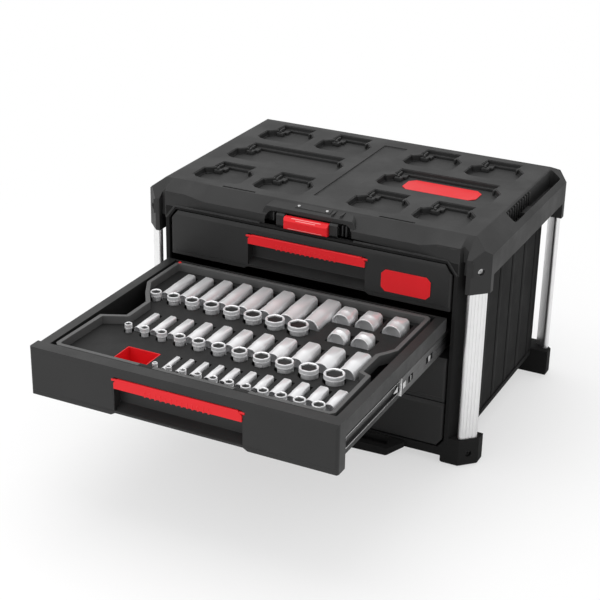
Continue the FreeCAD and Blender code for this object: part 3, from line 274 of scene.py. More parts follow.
def four_flats(angle):
    return min(1.0, FLATS_SHARE / max(abs(math.cos(angle)), abs(math.sin(angle))))


def six_sides(angle):
    return math.cos(math.radians(30)) / math.cos(angle % math.radians(60) - math.radians(30))


# ---------------------------------------------------------------------------
# Shader groups
# ---------------------------------------------------------------------------
def new_group(name, inputs, outputs):
    """Empty node group with named sockets, and its input and output nodes."""
    tree = bpy.data.node_groups.new(name, "ShaderNodeTree")
    for label, kind, value in inputs:
        socket = tree.interface.new_socket(label, in_out="INPUT", socket_type="NodeSocket" + kind)
        socket.default_value = value
    for label, kind in outputs:
        tree.interface.new_socket(label, in_out="OUTPUT", socket_type="NodeSocket" + kind)
    return tree, tree.nodes.new("NodeGroupInput"), tree.nodes.new("NodeGroupOutput")


def node(tree, kind, links=None, values=None, **settings):
    """Adds a shader node, sets it up and links its inputs."""
    made = tree.nodes.new("ShaderNode" + kind)
    for key, value in settings.items():
        setattr(made, key, value)
    for key, value in (values or {}).items():
        made.inputs[key].default_value = value
    for key, source in (links or {}).items():
        tree.links.new(source, made.inputs[key])
    return made


def math_node(tree, operation, a, b, clamp=False):
    """Sum, product or the like of two numbers or outputs."""
    made = node(tree, "Math", operation=operation, use_clamp=clamp)
    for index, value in enumerate((a, b)):
        if isinstance(value, (int, float)):
            made.inputs[index].default_value = value
        else:
            tree.links.new(value, made.inputs[index])
    return made.outputs[0]


def ramp(tree, source, low, high, to_low=0.0, to_high=1.0):
    """Smooth step of an output between two of its values."""
    made = node(tree, "MapRange", links={"Value": source},
                values={"From Min": low, "From Max": high, "To Min": to_low, "To Max": to_high})
    made.interpolation_type = "SMOOTHSTEP"
    return made.outputs["Result"]


def edge_wear_and_highlight_group():
    """Mask of the outer edges for rubbing and for painted edge highlights, broken up so that it looks
    uneven.
    """
    tree, given, out = new_group("edge wear and highlight", [("Radius", "Float", 0.0012), ("Amount", "Float", 0.5)],
                                 [("Mask", "Float")])
    rounded = node(tree, "Bevel", links={"Radius": given.outputs["Radius"]}, samples=4)
    surface = node(tree, "NewGeometry")
    facing = node(tree, "VectorMath", operation="DOT_PRODUCT",
                  links={0: rounded.outputs[0], 1: surface.outputs["Normal"]})
    place = node(tree, "TexCoord")
    patches = node(tree, "TexNoise", links={"Vector": place.outputs["Object"]},
                   values={"Scale": 60.0, "Detail": 5.0, "Roughness": 0.65})
    edge = ramp(tree, math_node(tree, "SUBTRACT", 1.0, facing.outputs["Value"]), 0.02, 0.22)
    broken = ramp(tree, patches.outputs["Fac"], 0.38, 0.68)
    mask = math_node(tree, "MULTIPLY", math_node(tree, "MULTIPLY", edge, broken), given.outputs["Amount"])
    tree.links.new(mask, out.inputs["Mask"])
    return tree


def moulded_group(wear):
    """Moulded plastic: spark-eroded grain, uneven gloss, faint mottling, and rubbed edges whose paler colour
    can also paint a highlight.
    """
    tree, given, out = new_group(
        "moulded skin",
        [("Colour", "Color", (0.1, 0.1, 0.1, 1)), ("Rubbed And Highlight Colour", "Color", (0.3, 0.3, 0.3, 1)),
         ("Grain Scale", "Float", 1400.0), ("Mottle", "Float", 0.12), ("Roughness", "Float", 0.5),
         ("Roughness Spread", "Float", 0.08), ("Wear", "Float", 0.4)],
        [("Colour", "Color"), ("Roughness", "Float"), ("Height", "Float")])
    place = node(tree, "TexCoord")
    grain = node(tree, "TexVoronoi", links={"Vector": place.outputs["Object"],
                                            "Scale": given.outputs["Grain Scale"]},
                 feature="SMOOTH_F1")
    grain.inputs["Smoothness"].default_value = 0.6
    haze = node(tree, "TexNoise", links={"Vector": place.outputs["Object"]},
                values={"Scale": 14.0, "Detail": 6.0, "Roughness": 0.6})
    speckle = node(tree, "TexNoise", links={"Vector": place.outputs["Object"]},
                   values={"Scale": 900.0, "Detail": 2.0})
    edges = node(tree, "Group", node_tree=wear, links={"Amount": given.outputs["Wear"]})
    shade_of = math_node(tree, "MULTIPLY", given.outputs["Mottle"],
                         math_node(tree, "SUBTRACT", haze.outputs["Fac"], 0.5))
    fine = math_node(tree, "MULTIPLY", 0.35,
                     math_node(tree, "MULTIPLY", given.outputs["Mottle"],
                               math_node(tree, "SUBTRACT", speckle.outputs["Fac"], 0.5)))
    value = math_node(tree, "ADD", 1.0, math_node(tree, "ADD", shade_of, fine))
    tone = node(tree, "HueSaturation", links={"Color": given.outputs["Colour"], "Value": value})
    rubbed_and_highlight = node(tree, "Mix", data_type="RGBA")
    tree.links.new(edges.outputs["Mask"], rubbed_and_highlight.inputs["Factor"])
    tree.links.new(tone.outputs["Color"], rubbed_and_highlight.inputs["A"])
    tree.links.new(given.outputs["Rubbed And Highlight Colour"], rubbed_and_highlight.inputs["B"])
    spread = math_node(tree, "MULTIPLY", given.outputs["Roughness Spread"],
                       ramp(tree, haze.outputs["Fac"], 0.3, 0.7, -1.0, 1.0))
    rough = math_node(tree, "ADD", given.outputs["Roughness"], spread)
    smooth_edge = math_node(tree, "MULTIPLY", edges.outputs["Mask"], 0.12)
    tree.links.new(rubbed_and_highlight.outputs["Result"], out.inputs["Colour"])
    tree.links.new(math_node(tree, "SUBTRACT", rough, smooth_edge, clamp=True), out.inputs["Roughness"])
    tree.links.new(grain.outputs["Distance"], out.inputs["Height"])
    return tree


def metal_group(wear):
    """Drawn or turned metal: fine lines along one direction, cloudy tarnish and bright edges."""
    tree, given, out = new_group(
        "worked metal",
        [("Colour", "Color", (0.7, 0.7, 0.7, 1)), ("Dull Colour", "Color", (0.5, 0.5, 0.5, 1)),
         ("Lines", "Vector", (900.0, 900.0, 12.0)), ("Roughness", "Float", 0.25),
         ("Roughness Spread", "Float", 0.1), ("Tarnish", "Float", 0.3), ("Wear", "Float", 0.4)],
        [("Colour", "Color"), ("Roughness", "Float"), ("Height", "Float")])
    place = node(tree, "TexCoord")
    stretched = node(tree, "VectorMath", operation="MULTIPLY",
                     links={0: place.outputs["Object"], 1: given.outputs["Lines"]})
    lines = node(tree, "TexNoise", links={"Vector": stretched.outputs[0]},
                 values={"Scale": 1.0, "Detail": 3.0, "Roughness": 0.55})
    cloud = node(tree, "TexNoise", links={"Vector": place.outputs["Object"]},
                 values={"Scale": 75.0, "Detail": 5.0, "Roughness": 0.6})
    edges = node(tree, "Group", node_tree=wear, links={"Amount": given.outputs["Wear"]})
    dull = math_node(tree, "MULTIPLY", ramp(tree, cloud.outputs["Fac"], 0.4, 0.75), given.outputs["Tarnish"])
    dull = math_node(tree, "SUBTRACT", dull, edges.outputs["Mask"], clamp=True)
    mixed = node(tree, "Mix", data_type="RGBA")
    tree.links.new(dull, mixed.inputs["Factor"])
    tree.links.new(given.outputs["Colour"], mixed.inputs["A"])
    tree.links.new(given.outputs["Dull Colour"], mixed.inputs["B"])
    spread = math_node(tree, "MULTIPLY", given.outputs["Roughness Spread"],
                       ramp(tree, lines.outputs["Fac"], 0.3, 0.7, -1.0, 1.0))
    rough = math_node(tree, "ADD", given.outputs["Roughness"], spread)
    rough = math_node(tree, "ADD", rough, math_node(tree, "MULTIPLY", dull, 0.2), clamp=True)
    tree.links.new(mixed.outputs["Result"], out.inputs["Colour"])
    tree.links.new(rough, out.inputs["Roughness"])
    tree.links.new(lines.outputs["Fac"], out.inputs["Height"])
    return tree


def make_material(name, skin, values, relief, **shader):
    """Principled material whose colour, roughness and bump come from a skin group."""
    material = bpy.data.materials.new(name)
    material.use_nodes = True
    tree = material.node_tree
    surface = tree.nodes["Principled BSDF"]
    for key, value in shader.items():
        surface.inputs[key.replace("_", " ")].default_value = value
    group = node(tree, "Group", node_tree=skin, values=values)
    bump = node(tree, "Bump", links={"Height": group.outputs["Height"]},
                values={"Strength": relief[0], "Distance": relief[1]})
    tree.links.new(group.outputs["Colour"], surface.inputs["Base Color"])
    tree.links.new(group.outputs["Roughness"], surface.inputs["Roughness"])
    tree.links.new(bump.outputs["Normal"], surface.inputs["Normal"])
    return material


def grey(value):
    return (value, value, value, 1)


WEAR_AND_HIGHLIGHT = edge_wear_and_highlight_group()
MOULDED = moulded_group(WEAR_AND_HIGHLIGHT)
METAL = metal_group(WEAR_AND_HIGHLIGHT)
GRAIN_DEEP = 0.15 * MM
LINES_DEEP = 0.05 * MM


def plastic(name, colour, rubbed_and_highlight, roughness, grain, wear=0.35, mottle=0.12, relief=0.25, shine=0.3):
    """Moulded plastic with its own colour, rubbed edges that can also carry a painted highlight, gloss and
    grain per metre.
    """
    values = {"Colour": colour, "Rubbed And Highlight Colour": rubbed_and_highlight, "Roughness": roughness, "Grain Scale": grain,
              "Wear": wear, "Mottle": mottle}
    return make_material(name, MOULDED, values, (relief, GRAIN_DEEP), Specular_IOR_Level=shine)


def metal(name, colour, dull, roughness, lines, wear=0.4, tarnish=0.3, relief=0.15, spread=0.1,
          metallic=1.0):
    """Worked metal with its own colour, tarnish, gloss and lines per metre along X, Y and Z."""
    values = {"Colour": colour, "Dull Colour": dull, "Roughness": roughness, "Lines": lines, "Wear": wear,
              "Tarnish": tarnish, "Roughness Spread": spread}
    return make_material(name, METAL, values, (relief, LINES_DEEP), Metallic=metallic)


# the finish of each material slot, then those of small pieces
FINISH = {
    "case_plastic": plastic("case_black_grained", grey(0.013), grey(0.045), 0.74, 1300.0, mottle=0.3,
                            shine=0.10),
    # the cover's rubbed colour is raised so that its edges and ridges carry a painted highlight on top of
    # the rubbing
    "cover_plastic": plastic("cover_black_grained", grey(0.022), grey(0.12), 0.62, 1300.0, wear=0.5,
                             mottle=0.3),
    "face_plastic": plastic("drawer_face_black", grey(0.017), grey(0.065), 0.48, 1500.0, mottle=0.25),
    "drawer_plastic": plastic("drawer_box_black", grey(0.016), grey(0.06), 0.46, 1600.0, mottle=0.25),
    "latch_plastic": plastic("latch_black", grey(0.018), grey(0.065), 0.46, 1600.0, mottle=0.25),
    "red_plastic": plastic("latch_red", (0.70, 0.014, 0.02, 1), (0.80, 0.12, 0.11, 1), 0.40, 1800.0,
                           mottle=0.12, relief=0.12, shine=0.22),
    "tray_plastic": plastic("tray_rim_grey", grey(0.085), grey(0.20), 0.46, 1700.0, mottle=0.2),
    "insert_plastic": plastic("tray_insert_black", grey(0.012), grey(0.04), 0.60, 1700.0, mottle=0.3,
                              shine=0.22),
    "post_aluminium": metal("post_anodised", grey(0.80), grey(0.66), 0.36, (1500.0, 1500.0, 6.0),
                            tarnish=0.2),
    "zinc_steel": metal("slide_zinc", grey(0.10), grey(0.05), 0.34, (1200.0, 8.0, 1200.0)),
    "screw_steel": metal("screw_bright", grey(0.58), grey(0.36), 0.30, (700.0, 700.0, 700.0)),
    "socket_chrome": metal("socket_satin_chrome", (0.80, 0.80, 0.81, 1), (0.66, 0.66, 0.67, 1), 0.32,
                           (120.0, 400.0, 120.0), wear=0.2, tarnish=0.15, relief=0.02, spread=0.02,
                           metallic=0.42),
}
# near-black for the plugs that paint the shade deep in the socket bores
BORE_SHADOW = metal("socket_bore_painted_shade", grey(0.03), grey(0.015), 0.45, (600.0, 600.0, 60.0), wear=0.0)
SCREW_DARK = metal("screw_blackened", grey(0.05), grey(0.03), 0.42, (700.0, 700.0, 700.0))
SLOT_SHADOW = plastic("slot_shadow", grey(0.004), grey(0.01), 0.7, 1500.0, wear=0.0, shine=0.1)
BRIGHT_ZINC = metal("slide_bright_zinc", grey(0.72), grey(0.5), 0.28, (900.0, 900.0, 60.0))
# paler red of the raised lines on the top latch
PALE_RED_LINE = plastic("latch_red_pale_line", (0.78, 0.22, 0.22, 1), (0.85, 0.5, 0.5, 1), 0.42, 1800.0,
                   mottle=0.1, relief=0.1, shine=0.4)


# ---------------------------------------------------------------------------
# Sockets
# ---------------------------------------------------------------------------
ROUND = 48              # faces round a socket
BORE_DEEP = 12.0
BORE_CHAMFER = (0.5, 0.1)
RIM_EDGE = 0.7
DRIVE_DEEP = 8.0
DRIVE_SHARE = 0.42      # of the diameter, up to DRIVE_WIDEST
DRIVE_WIDEST = 8.5
WALL = 1.5              # of a socket of WALL_DIAMETER, with half of it in proportion to the diameter
WALL_DIAMETER = 20.0

# standing sockets: a grooved ring on a stem, as depths below the rim and shares of the radius
GROOVE = (4.6, 5.8)
GROOVE_DEEP = 0.35
GROOVE_SLOPE = 0.3
RING_FOOT = 7.4
STEM_TOP = 9.2
STEM_SHARES = (0.80, 0.76, 0.70)
STEM_CHAMFER = 1.0
# painted shade deep in a bore, drawn as a dark plug: share of its radius, depth of its foot and top, and a
# shallow dip in the top
SHADE_PLUG_SHARE = 0.90
SHADE_PLUG = (11.0, 2.0)
SHADE_PLUG_DIP = (0.35, 2.6)

# lying sockets: a slim open half, a shoulder, and a body that four flats and a taper end
SLIM_SHARE = 0.94       # of the radius
SLIM_EDGE = 0.6
SHOULDER = (0.34, 0.40, 0.46)   # its start, its end and the start of the flats along the length
TAPER_SHARE = 0.12      # of the diameter
END_SHARE = 0.84        # of the radius, at the drive end
FLATS_SHARE = 0.84      # of the radius, across the flats


def bore_radius(d):
    return d / 2 - WALL * (0.5 + d / (2 * WALL_DIAMETER))


def drive_radius(d):
    return min(DRIVE_SHARE * d, DRIVE_WIDEST) / 2


def standing_profile(d):
    """Standing socket from its bore out over the rim and down."""
    r, bore = d / 2, bore_radius(d)
    groove, foot = r - GROOVE_DEEP, -STANDING_HIGH
    wide, drop = BORE_CHAMFER
    return [(0.0, -BORE_DEEP), (bore, -BORE_DEEP), (bore, -RIM_EDGE), (bore + wide, -drop),
            (r - RIM_EDGE, 0.0), (r, -RIM_EDGE), (r, -GROOVE[0]), (groove, -GROOVE[0] - GROOVE_SLOPE),
            (groove, GROOVE_SLOPE - GROOVE[1]), (r, -GROOVE[1]), (r, -RING_FOOT),
            (STEM_SHARES[0] * r, -STEM_TOP), (STEM_SHARES[1] * r, foot + STEM_CHAMFER),
            (STEM_SHARES[2] * r, foot), (0.0, foot)]


def deep_profile(d, length):
    """Deep socket from its bore out over the open end and back to its drive end."""
    r, bore, drive = d / 2, bore_radius(d), drive_radius(d)
    slim = SLIM_SHARE * r
    wide, drop = BORE_CHAMFER
    neck, shoulder, body = (share * length for share in SHOULDER)
    return [(0.0, BORE_DEEP), (bore, BORE_DEEP), (bore, RIM_EDGE), (bore + wide, drop),
            (slim - SLIM_EDGE, 0.0), (slim, SLIM_EDGE), (slim, neck), (r, shoulder), (r, body),
            (r, length - TAPER_SHARE * d), (END_SHARE * r, length), (drive, length),
            (drive, length - DRIVE_DEEP), (0.0, length - DRIVE_DEEP)]


def row_members(row):
    """Centre and diameter of each standing socket of a row, and how far its deep one reaches."""
    s = SOCKET_ROWS[row]
    members = []
    for i in range(s["count"]):
        x = s["x"] + s["pitch"] * i + s["grow"] * i * (i - 1) / 2
        reach = s["reach"][0] + (s["reach"][1] - s["reach"][0]) * i / (s["count"] - 1)
        members.append((x, s["d"][0] + s["d"][1] * i, reach))
    return members


def add_sockets(node_name, bm):
    """A row of sockets in chrome, shown in place of its CAD node."""
    piece = add_piece(node_name + "_chrome", bm, "drawer_2", FINISH["socket_chrome"])
    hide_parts(node_name)


def standing_sockets(row):
    """A row of standing sockets, and a dark six-sided plug in each bore that paints the shade of its depth.
    """
    bm, bore_painted_shade = bmesh.new(), bmesh.new()
    y = TRAY_FRONT + SOCKET_ROWS[row]["y"]
    for x, d, _ in row_members(row):
        place = Matrix.Translation((x * MM, y * MM, STANDING_TOP * MM))
        shaped = [(bore_radius(d), -depth, six_sides) for depth in (BORE_DEEP, RIM_EDGE)]
        lathe(bm, standing_profile(d), ROUND, place, shaped)
        # a dark plug in the bore paints the shade of its depth
        within = SHADE_PLUG_SHARE * bore_radius(d)
        foot, top = SHADE_PLUG
        share, dip = SHADE_PLUG_DIP
        lathe(bore_painted_shade, [(0.0, -foot), (within, -foot), (within, -top), (share * within, -dip), (0.0, -dip)],
              6, place)
    add_sockets("standing_sockets_" + row, bm)
    add_piece("standing_sockets_" + row + "_bore_painted_shade", bore_painted_shade, "drawer_2", BORE_SHADOW)


def lying_socket(bm, x, y, d, length):
    """One deep socket on its side, its drive end to the rear."""
    axis = TRAY_SURFACE + min(0.0, LYING_RISE - d / 2)
    place = Matrix.Translation((x * MM, (TRAY_FRONT + y) * MM, axis * MM)) @ Matrix.Rotation(
        math.radians(-90), 4, "X")
    shaped = [(drive_radius(d), length, square_hole), (drive_radius(d), length - DRIVE_DEEP, square_hole),
              (d / 2, length - TAPER_SHARE * d, four_flats), (END_SHARE * d / 2, length, four_flats),
              (bore_radius(d), BORE_DEEP, six_sides), (bore_radius(d), RIM_EDGE, six_sides)]
    lathe(bm, deep_profile(d, length), ROUND, place, shaped)


def deep_sockets(row):
    """The lying sockets behind a row of standing ones."""
    bm = bmesh.new()
    for x, d, reach in row_members(row):
        start = d / 2 + SOCKET_SPACE
        lying_socket(bm, x + DEEP_OFFSET, SOCKET_ROWS[row]["y"] + start, d, reach - start)
    add_sockets("deep_sockets_" + row, bm)


def large_sockets():
    """The five large sockets in the tray's rear right corner."""
    bm = bmesh.new()
    for x, y, d, length in LARGE_SOCKETS:
        lying_socket(bm, x, y, d, length)
    add_sockets("large_sockets", bm)


# ---------------------------------------------------------------------------
# Finished copies of the moulded parts
# ---------------------------------------------------------------------------
# width of the rounded edges, in millimetres
SOFT_EDGES = {
    "case_shell": 0.5, "base": 0.5, "top_cover": 0.6, "drawer_front_": 0.5, "drawer_box_": 0.4,
    "pull_latch_": 0.3, "top_latch": 0.5, "base_latch": 0.5, "tray_rim": 0.8, "tray_insert": 0.4,
    "parts_bin": 0.5, "cover_label": 0.2, "face_badge": 0.2,
}


def finish_nodes():
    """Every CAD node gets its material; moulded ones get rounded edges as well."""
    for name, thing in frame["nodes"].items():
        slot = thing.material_slots[0].material.name.split(".")[0]
        finish = SCREW_DARK if name == "foot_corner_screws" else FINISH[slot]
        thing.material_slots[0].material = finish
        width = SOFT_EDGES.get(name) or SOFT_EDGES.get(name.rstrip("1234"))
        if width:
            soften(name, finish, width * MM)


# ---------------------------------------------------------------------------
# Details of the cover: back from FRONT and up or down from TOP
# ---------------------------------------------------------------------------
RECESS_LEFTS = (-227.0, -122.5, 35.5, 140.0)
RECESS_FRONTS = (50.0, 157.3, 264.6)
RECESS_LONG = 87.0
RECESS_PAIR = 191.5     # the long recesses of the middle row
RECESS_WIDE = 85.0
RECESS_GAP = 0.05       # between the rim and the recess's wall
RECESS_RIM = dict(wide=1.5, below=1.0)
RECESS_STEP = dict(wide=1.6, high=1.4)
LEDGE = dict(ends=18.0, y=(-7.0, -1.5), high=4.2, edge=0.5)
# x from a recess's left, y from its front, z from TOP, and edge radius, of the
# hook's foot, wall, pad and knob; the tab's x is from the recess's right
HOOK = (((15.0, 27.0), (50.0, 59.0), (-10.0, -3.5), 0.6), ((16.0, 19.0), (59.0, 76.0), (-10.0, -1.5), 0.4),
        ((21.0, 30.0), (62.0, 74.0), (-10.0, -5.0), 0.5), ((19.0, 22.5), (52.0, 56.0), (-4.0, -0.6), 0.5))
TAB = ((-19.0, -16.0), (64.0, 78.0), (-10.0, -2.5), 0.4)


def recess_outline(left, front, length):
    """A recess seen from above, with cut corners and a step at its rear left."""
    w = RECESS_WIDE
    points = [(0, 0.13 * w), (7, 0.04 * w), (20, 0), (length - 7, 0), (length, 0.10 * w),
              (length, 0.58 * w), (length - 14, 0.79 * w), (length - 14, w), (14, w),
              (12, 0.70 * w), (15, 0.66 * w), (5, 0.54 * w), (0, 0.54 * w)]
    return [(left + x, front + y) for x, y in points]


def recess_places():
    """Left side, front and length of every recess."""
    places = []
    for row, front in enumerate(RECESS_FRONTS):
        lefts = RECESS_LEFTS[::2] if row == 1 else RECESS_LEFTS
        places += [(left, FRONT + front, RECESS_PAIR if row == 1 else RECESS_LONG) for left in lefts]
    return places


def recess_details():
    """Rim, inner step, rear ledge, hook and tab in every stacking recess."""
    rims, hooks = bmesh.new(), bmesh.new()
    for left, front, length in recess_places():
        outline = inset_outline(recess_outline(left, front, length), RECESS_GAP)
        ring(rims, outline, RECESS_RIM["wide"], RECESS_FLOOR, TOP - RECESS_RIM["below"])
        inner = inset_outline(outline, RECESS_RIM["wide"])
        ring(rims, inner, RECESS_STEP["wide"], RECESS_FLOOR, RECESS_FLOOR + RECESS_STEP["high"])
        block(rims, (left + LEDGE["ends"], left + length - LEDGE["ends"]),
              moved(LEDGE["y"], front + RECESS_WIDE), (RECESS_FLOOR, RECESS_FLOOR + LEDGE["high"]),
              LEDGE["edge"])
        for x, y, z, edge in HOOK:
            block(hooks, moved(x, left), moved(y, front), moved(z, TOP), edge)
        x, y, z, edge = TAB
        block(hooks, moved(x, left + length), moved(y, front), moved(z, TOP), edge)
    add_piece("recess_rims", rims, "case", FINISH["cover_plastic"])
    add_piece("recess_hooks", hooks, "case", FINISH["cover_plastic"])


PAD = dict(x=(-26.0, 31.0), profile=((15.0, -6.0), (15.0, -3.6), (31.0, -0.3), (31.0, -2.6)))
PAD_RIBS = dict(lefts=(35.0, 49.0), wide=3.0, y=(10.0, 27.0), z=(-7.5, -1.6), edge=0.5)
BAY_RIBS = dict(lefts=(-52.0, -58.0, 55.0, 61.0), wide=2.0, y=(6.0, 16.0), z=(-33.0, -15.0), edge=0.4)
PAD_BOLTS = dict(x=(-21.0, 25.0), y=19.0, z=(-4.5, -1.4), radius=2.4)


def latch_surround():
    """Bolted pad on the brow behind the latch, and the ribs of the bay."""
    pad, bolts = bmesh.new(), bmesh.new()
    prism(pad, [(FRONT + y, TOP + z) for y, z in PAD["profile"]], PAD["x"], (Y, Z, X))
    for ribs in (PAD_RIBS, BAY_RIBS):
        for left in ribs["lefts"]:
            block(pad, (left, left + ribs["wide"]), moved(ribs["y"], FRONT), moved(ribs["z"], TOP),
                  ribs["edge"])
    for x in PAD_BOLTS["x"]:
        peg(bolts, x, FRONT + PAD_BOLTS["y"], moved(PAD_BOLTS["z"], TOP), PAD_BOLTS["radius"])
    add_piece("latch_pad", pad, "case", FINISH["cover_plastic"])
    add_piece("latch_pad_bolts", bolts, "case", FINISH["screw_steel"])


# right half of the band over the opening, of the line under the cover's slope and
# of the plate at the corner: (x, z) points, and how far each stands out
BAND = (((77, -34.4), (223, -34.4), (238.4, -54.8), (240.6, -53.2), (224.2, -31.8), (77, -31.8)), 0.9)
SLOPE_LINE = (((206, -14.8), (241, -14.8), (241, -13.6), (206, -13.6)), 0.3)
CORNER_PLATE = (((254, -52.0), (262, -52.0), (262, -29.0), (254, -29.0)), 0.3)
MOULDING_SUNK = 0.6


def front_mouldings():
    """Raised band round the top of the drawer opening, and the trim beside and above it."""
    bm = bmesh.new()
    for side in (1, -1):
        for points, proud in (BAND, SLOPE_LINE, CORNER_PLATE):
            outline = [(side * x, TOP + z) for x, z in points]
            prism(bm, outline, (FRONT - proud, FRONT + MOULDING_SUNK), (X, Z, Y))
    add_piece("opening_mouldings", bm, "case", FINISH["cover_plastic"])


SIDES = ((1, "right"), (-1, "left"))
GRIP_RIBS = dict(count=10, first=146.0, pitch=11.0, wide=3.2, x=(4.8, 8.2), z=(-30.5, -3.4), edge=0.7)


def hand_grips():
    """Finger ribs on the inner wall of both hand troughs."""
    ribs = GRIP_RIBS
    for side, label in SIDES:
        bm = bmesh.new()
        for index in range(ribs["count"]):
            y = FRONT + ribs["first"] + ribs["pitch"] * index
            block(bm, outward(side, CASE_SIDE, ribs["x"]), (y, y + ribs["wide"]), moved(ribs["z"], TOP),
                  ribs["edge"])
        add_piece("grip_ribs_" + label, bm, "case", FINISH["cover_plastic"])


# x is outwards from the case's side and z up from the floor
CASE_BANDS = dict(count=6, first=42.0, pitch=56.0, wide=12.0, x=(-0.2, 0.9), z=(46.0, 303.0), edge=0.6)
CASE_SILL = dict(x=(-0.2, 2.6), y=(36.0, 340.0), z=(38.0, 46.0), edge=0.6)


def case_panels():
    """Upright stiffening bands on the side walls of the case, and the sill under them."""
    bands, sill = CASE_BANDS, CASE_SILL
    for side, label in SIDES:
        bm = bmesh.new()
        for index in range(bands["count"]):
            y = FRONT + bands["first"] + bands["pitch"] * index
            block(bm, outward(side, CASE_SIDE, bands["x"]), (y, y + bands["wide"]), bands["z"],
                  bands["edge"])
        block(bm, outward(side, CASE_SIDE, sill["x"]), moved(sill["y"], FRONT), sill["z"], sill["edge"])
        add_piece("case_bands_" + label, bm, "case", FINISH["case_plastic"])


# ---------------------------------------------------------------------------
# Details of the latch, the slides and the tray
# ---------------------------------------------------------------------------
SLOPE_BACK = 5.0        # from the latch's front to the top of its slope
# distance down the latch's slope and half length of each line, and a line's
# cross-section as (y, z) about its place
LINES = ((3.2, 16.0), (1.2, 24.0))
LINE_SECTION = ((-0.35, -0.15), (0.55, 0.75), (0.9, 0.4), (0.0, -0.5))
LATCH_CREASE = dict(x=(-28.0, 28.0), y=(-0.2, 0.4), z=(-16.6, -15.8), edge=0.1)


def latch_lines():
    """Two raised lines on the slope of the top latch, and a third low on its front."""
    bm = bmesh.new()
    for down, half in LINES:
        y, z = LATCH_FRONT + SLOPE_BACK - down, LATCH_TOP - down
        prism(bm, [(y + dy, z + dz) for dy, dz in LINE_SECTION], (-half, half), (Y, Z, X))
    crease = LATCH_CREASE
    block(bm, crease["x"], moved(crease["y"], LATCH_FRONT), moved(crease["z"], LATCH_TOP), crease["edge"])
    add_piece("top_latch_lines", bm, "top_latch", PALE_RED_LINE)


# on the middle members: x out from their side, y back from their front, z about
# the slide's middle, and edge radius
END_PLATE = ((-6.6, 0.6), (-0.8, 0.0), (-13.6, 13.6), 0.2)
CLIP = ((0.1, 0.9), (4.0, 14.0), (-4.5, 4.5), 0.2)
STRIPS = (((0.0, 0.6), (31.4, 32.8), (-4.0, 4.0), 0.2), ((0.0, 0.6), (96.5, 103.5), (-4.0, 4.0), 0.2))
SLOTS = dict(x=(-0.1, 0.25), starts=((24.0, 7.0), (33.0, 7.0), (88.0, 8.0), (104.0, 8.0)), z=(-5.0, 5.0),
             edge=0.1)
RIVET = ((0.0, 0.0), (2.6, 0.0), (2.6, 1.2), (2.0, 1.6), (0.0, 1.6))
RIVET_BACK = 9.0
# on the drawer's members: x out from their side; the lever lies before the middle
# members' front, the tabs behind the drawer's, and the ball strips run between the two
LEVER = dict(x=(-0.2, 0.5), outline=((-22.0, -1.0), (-7.0, 4.0), (-7.0, -5.0)))
TABS = dict(x=(-4.5, -3.8), starts=(30.0, 41.0), long=6.0, z=(-3.5, 3.5), edge=0.1)
BALL_STRIPS = dict(x=(-0.9, 0.3), start=26.0, short=2.0, rises=(-8.6, 8.0), high=0.7, edge=0.1)


def member_details(side, bright, slots):
    """End plate, clip, rivet, strips and slots of one middle member."""
    for x, y, z, edge in (END_PLATE, CLIP):
        block(bright, outward(side, MEMBER_SIDE, x), moved(y, MEMBER_FRONT), moved(z, SLIDE_MIDDLE), edge)
    rivet = (side * MEMBER_SIDE * MM, (MEMBER_FRONT + RIVET_BACK) * MM, SLIDE_MIDDLE * MM)
    lathe(bright, RIVET, 20, Matrix.Translation(rivet) @ Matrix.Rotation(math.radians(90 * side), 4, "Y"))
    for start, long in SLOTS["starts"]:
        y = MEMBER_FRONT + start
        block(slots, outward(side, MEMBER_SIDE, SLOTS["x"]), (y, y + long), moved(SLOTS["z"], SLIDE_MIDDLE),
              SLOTS["edge"])
    for x, y, z, edge in STRIPS:
        block(bright, outward(side, MEMBER_SIDE, x), moved(y, MEMBER_FRONT), moved(z, SLIDE_MIDDLE), edge)


def drawer_member_details(side, bm):
    """Lever, tabs and ball strips of one drawer member."""
    outline = [(MEMBER_FRONT + y, SLIDE_MIDDLE + z) for y, z in LEVER["outline"]]
    prism(bm, outline, outward(side, INNER_SIDE, LEVER["x"]), (Y, Z, X))
    for start in TABS["starts"]:
        y = DRAWER_FRONT + start
        block(bm, outward(side, INNER_SIDE, TABS["x"]), (y, y + TABS["long"]),
              moved(TABS["z"], SLIDE_MIDDLE), TABS["edge"])
    strips = BALL_STRIPS
    for rise in strips["rises"]:
        z = SLIDE_MIDDLE + rise
        block(bm, outward(side, INNER_SIDE, strips["x"]),
              (DRAWER_FRONT + strips["start"], MEMBER_FRONT - strips["short"]), (z, z + strips["high"]),
              strips["edge"])


def slide_details():
    """What shows on both slides of the open drawer."""
    for side, label in SIDES:
        bright, slots, moving = bmesh.new(), bmesh.new(), bmesh.new()
        member_details(side, bright, slots)
        drawer_member_details(side, moving)
        add_piece("slide_stop_" + label, bright, "middle_members_2", BRIGHT_ZINC)
        add_piece("slide_slots_" + label, slots, "middle_members_2", SLOT_SHADOW)
        add_piece("slide_lever_" + label, moving, "drawer_2", BRIGHT_ZINC)


# y is back from the drawer's front and z up from the tray's rim
TRAY_PIN = dict(x=-205.0, y=354.0, z=(-0.5, 0.9), radius=2.6)
NOTCHES = dict(x=((-76.0, -55.0), (68.0, 89.0)), y=(28.4, 34.2), z=(-0.8, 0.25), edge=0.1)


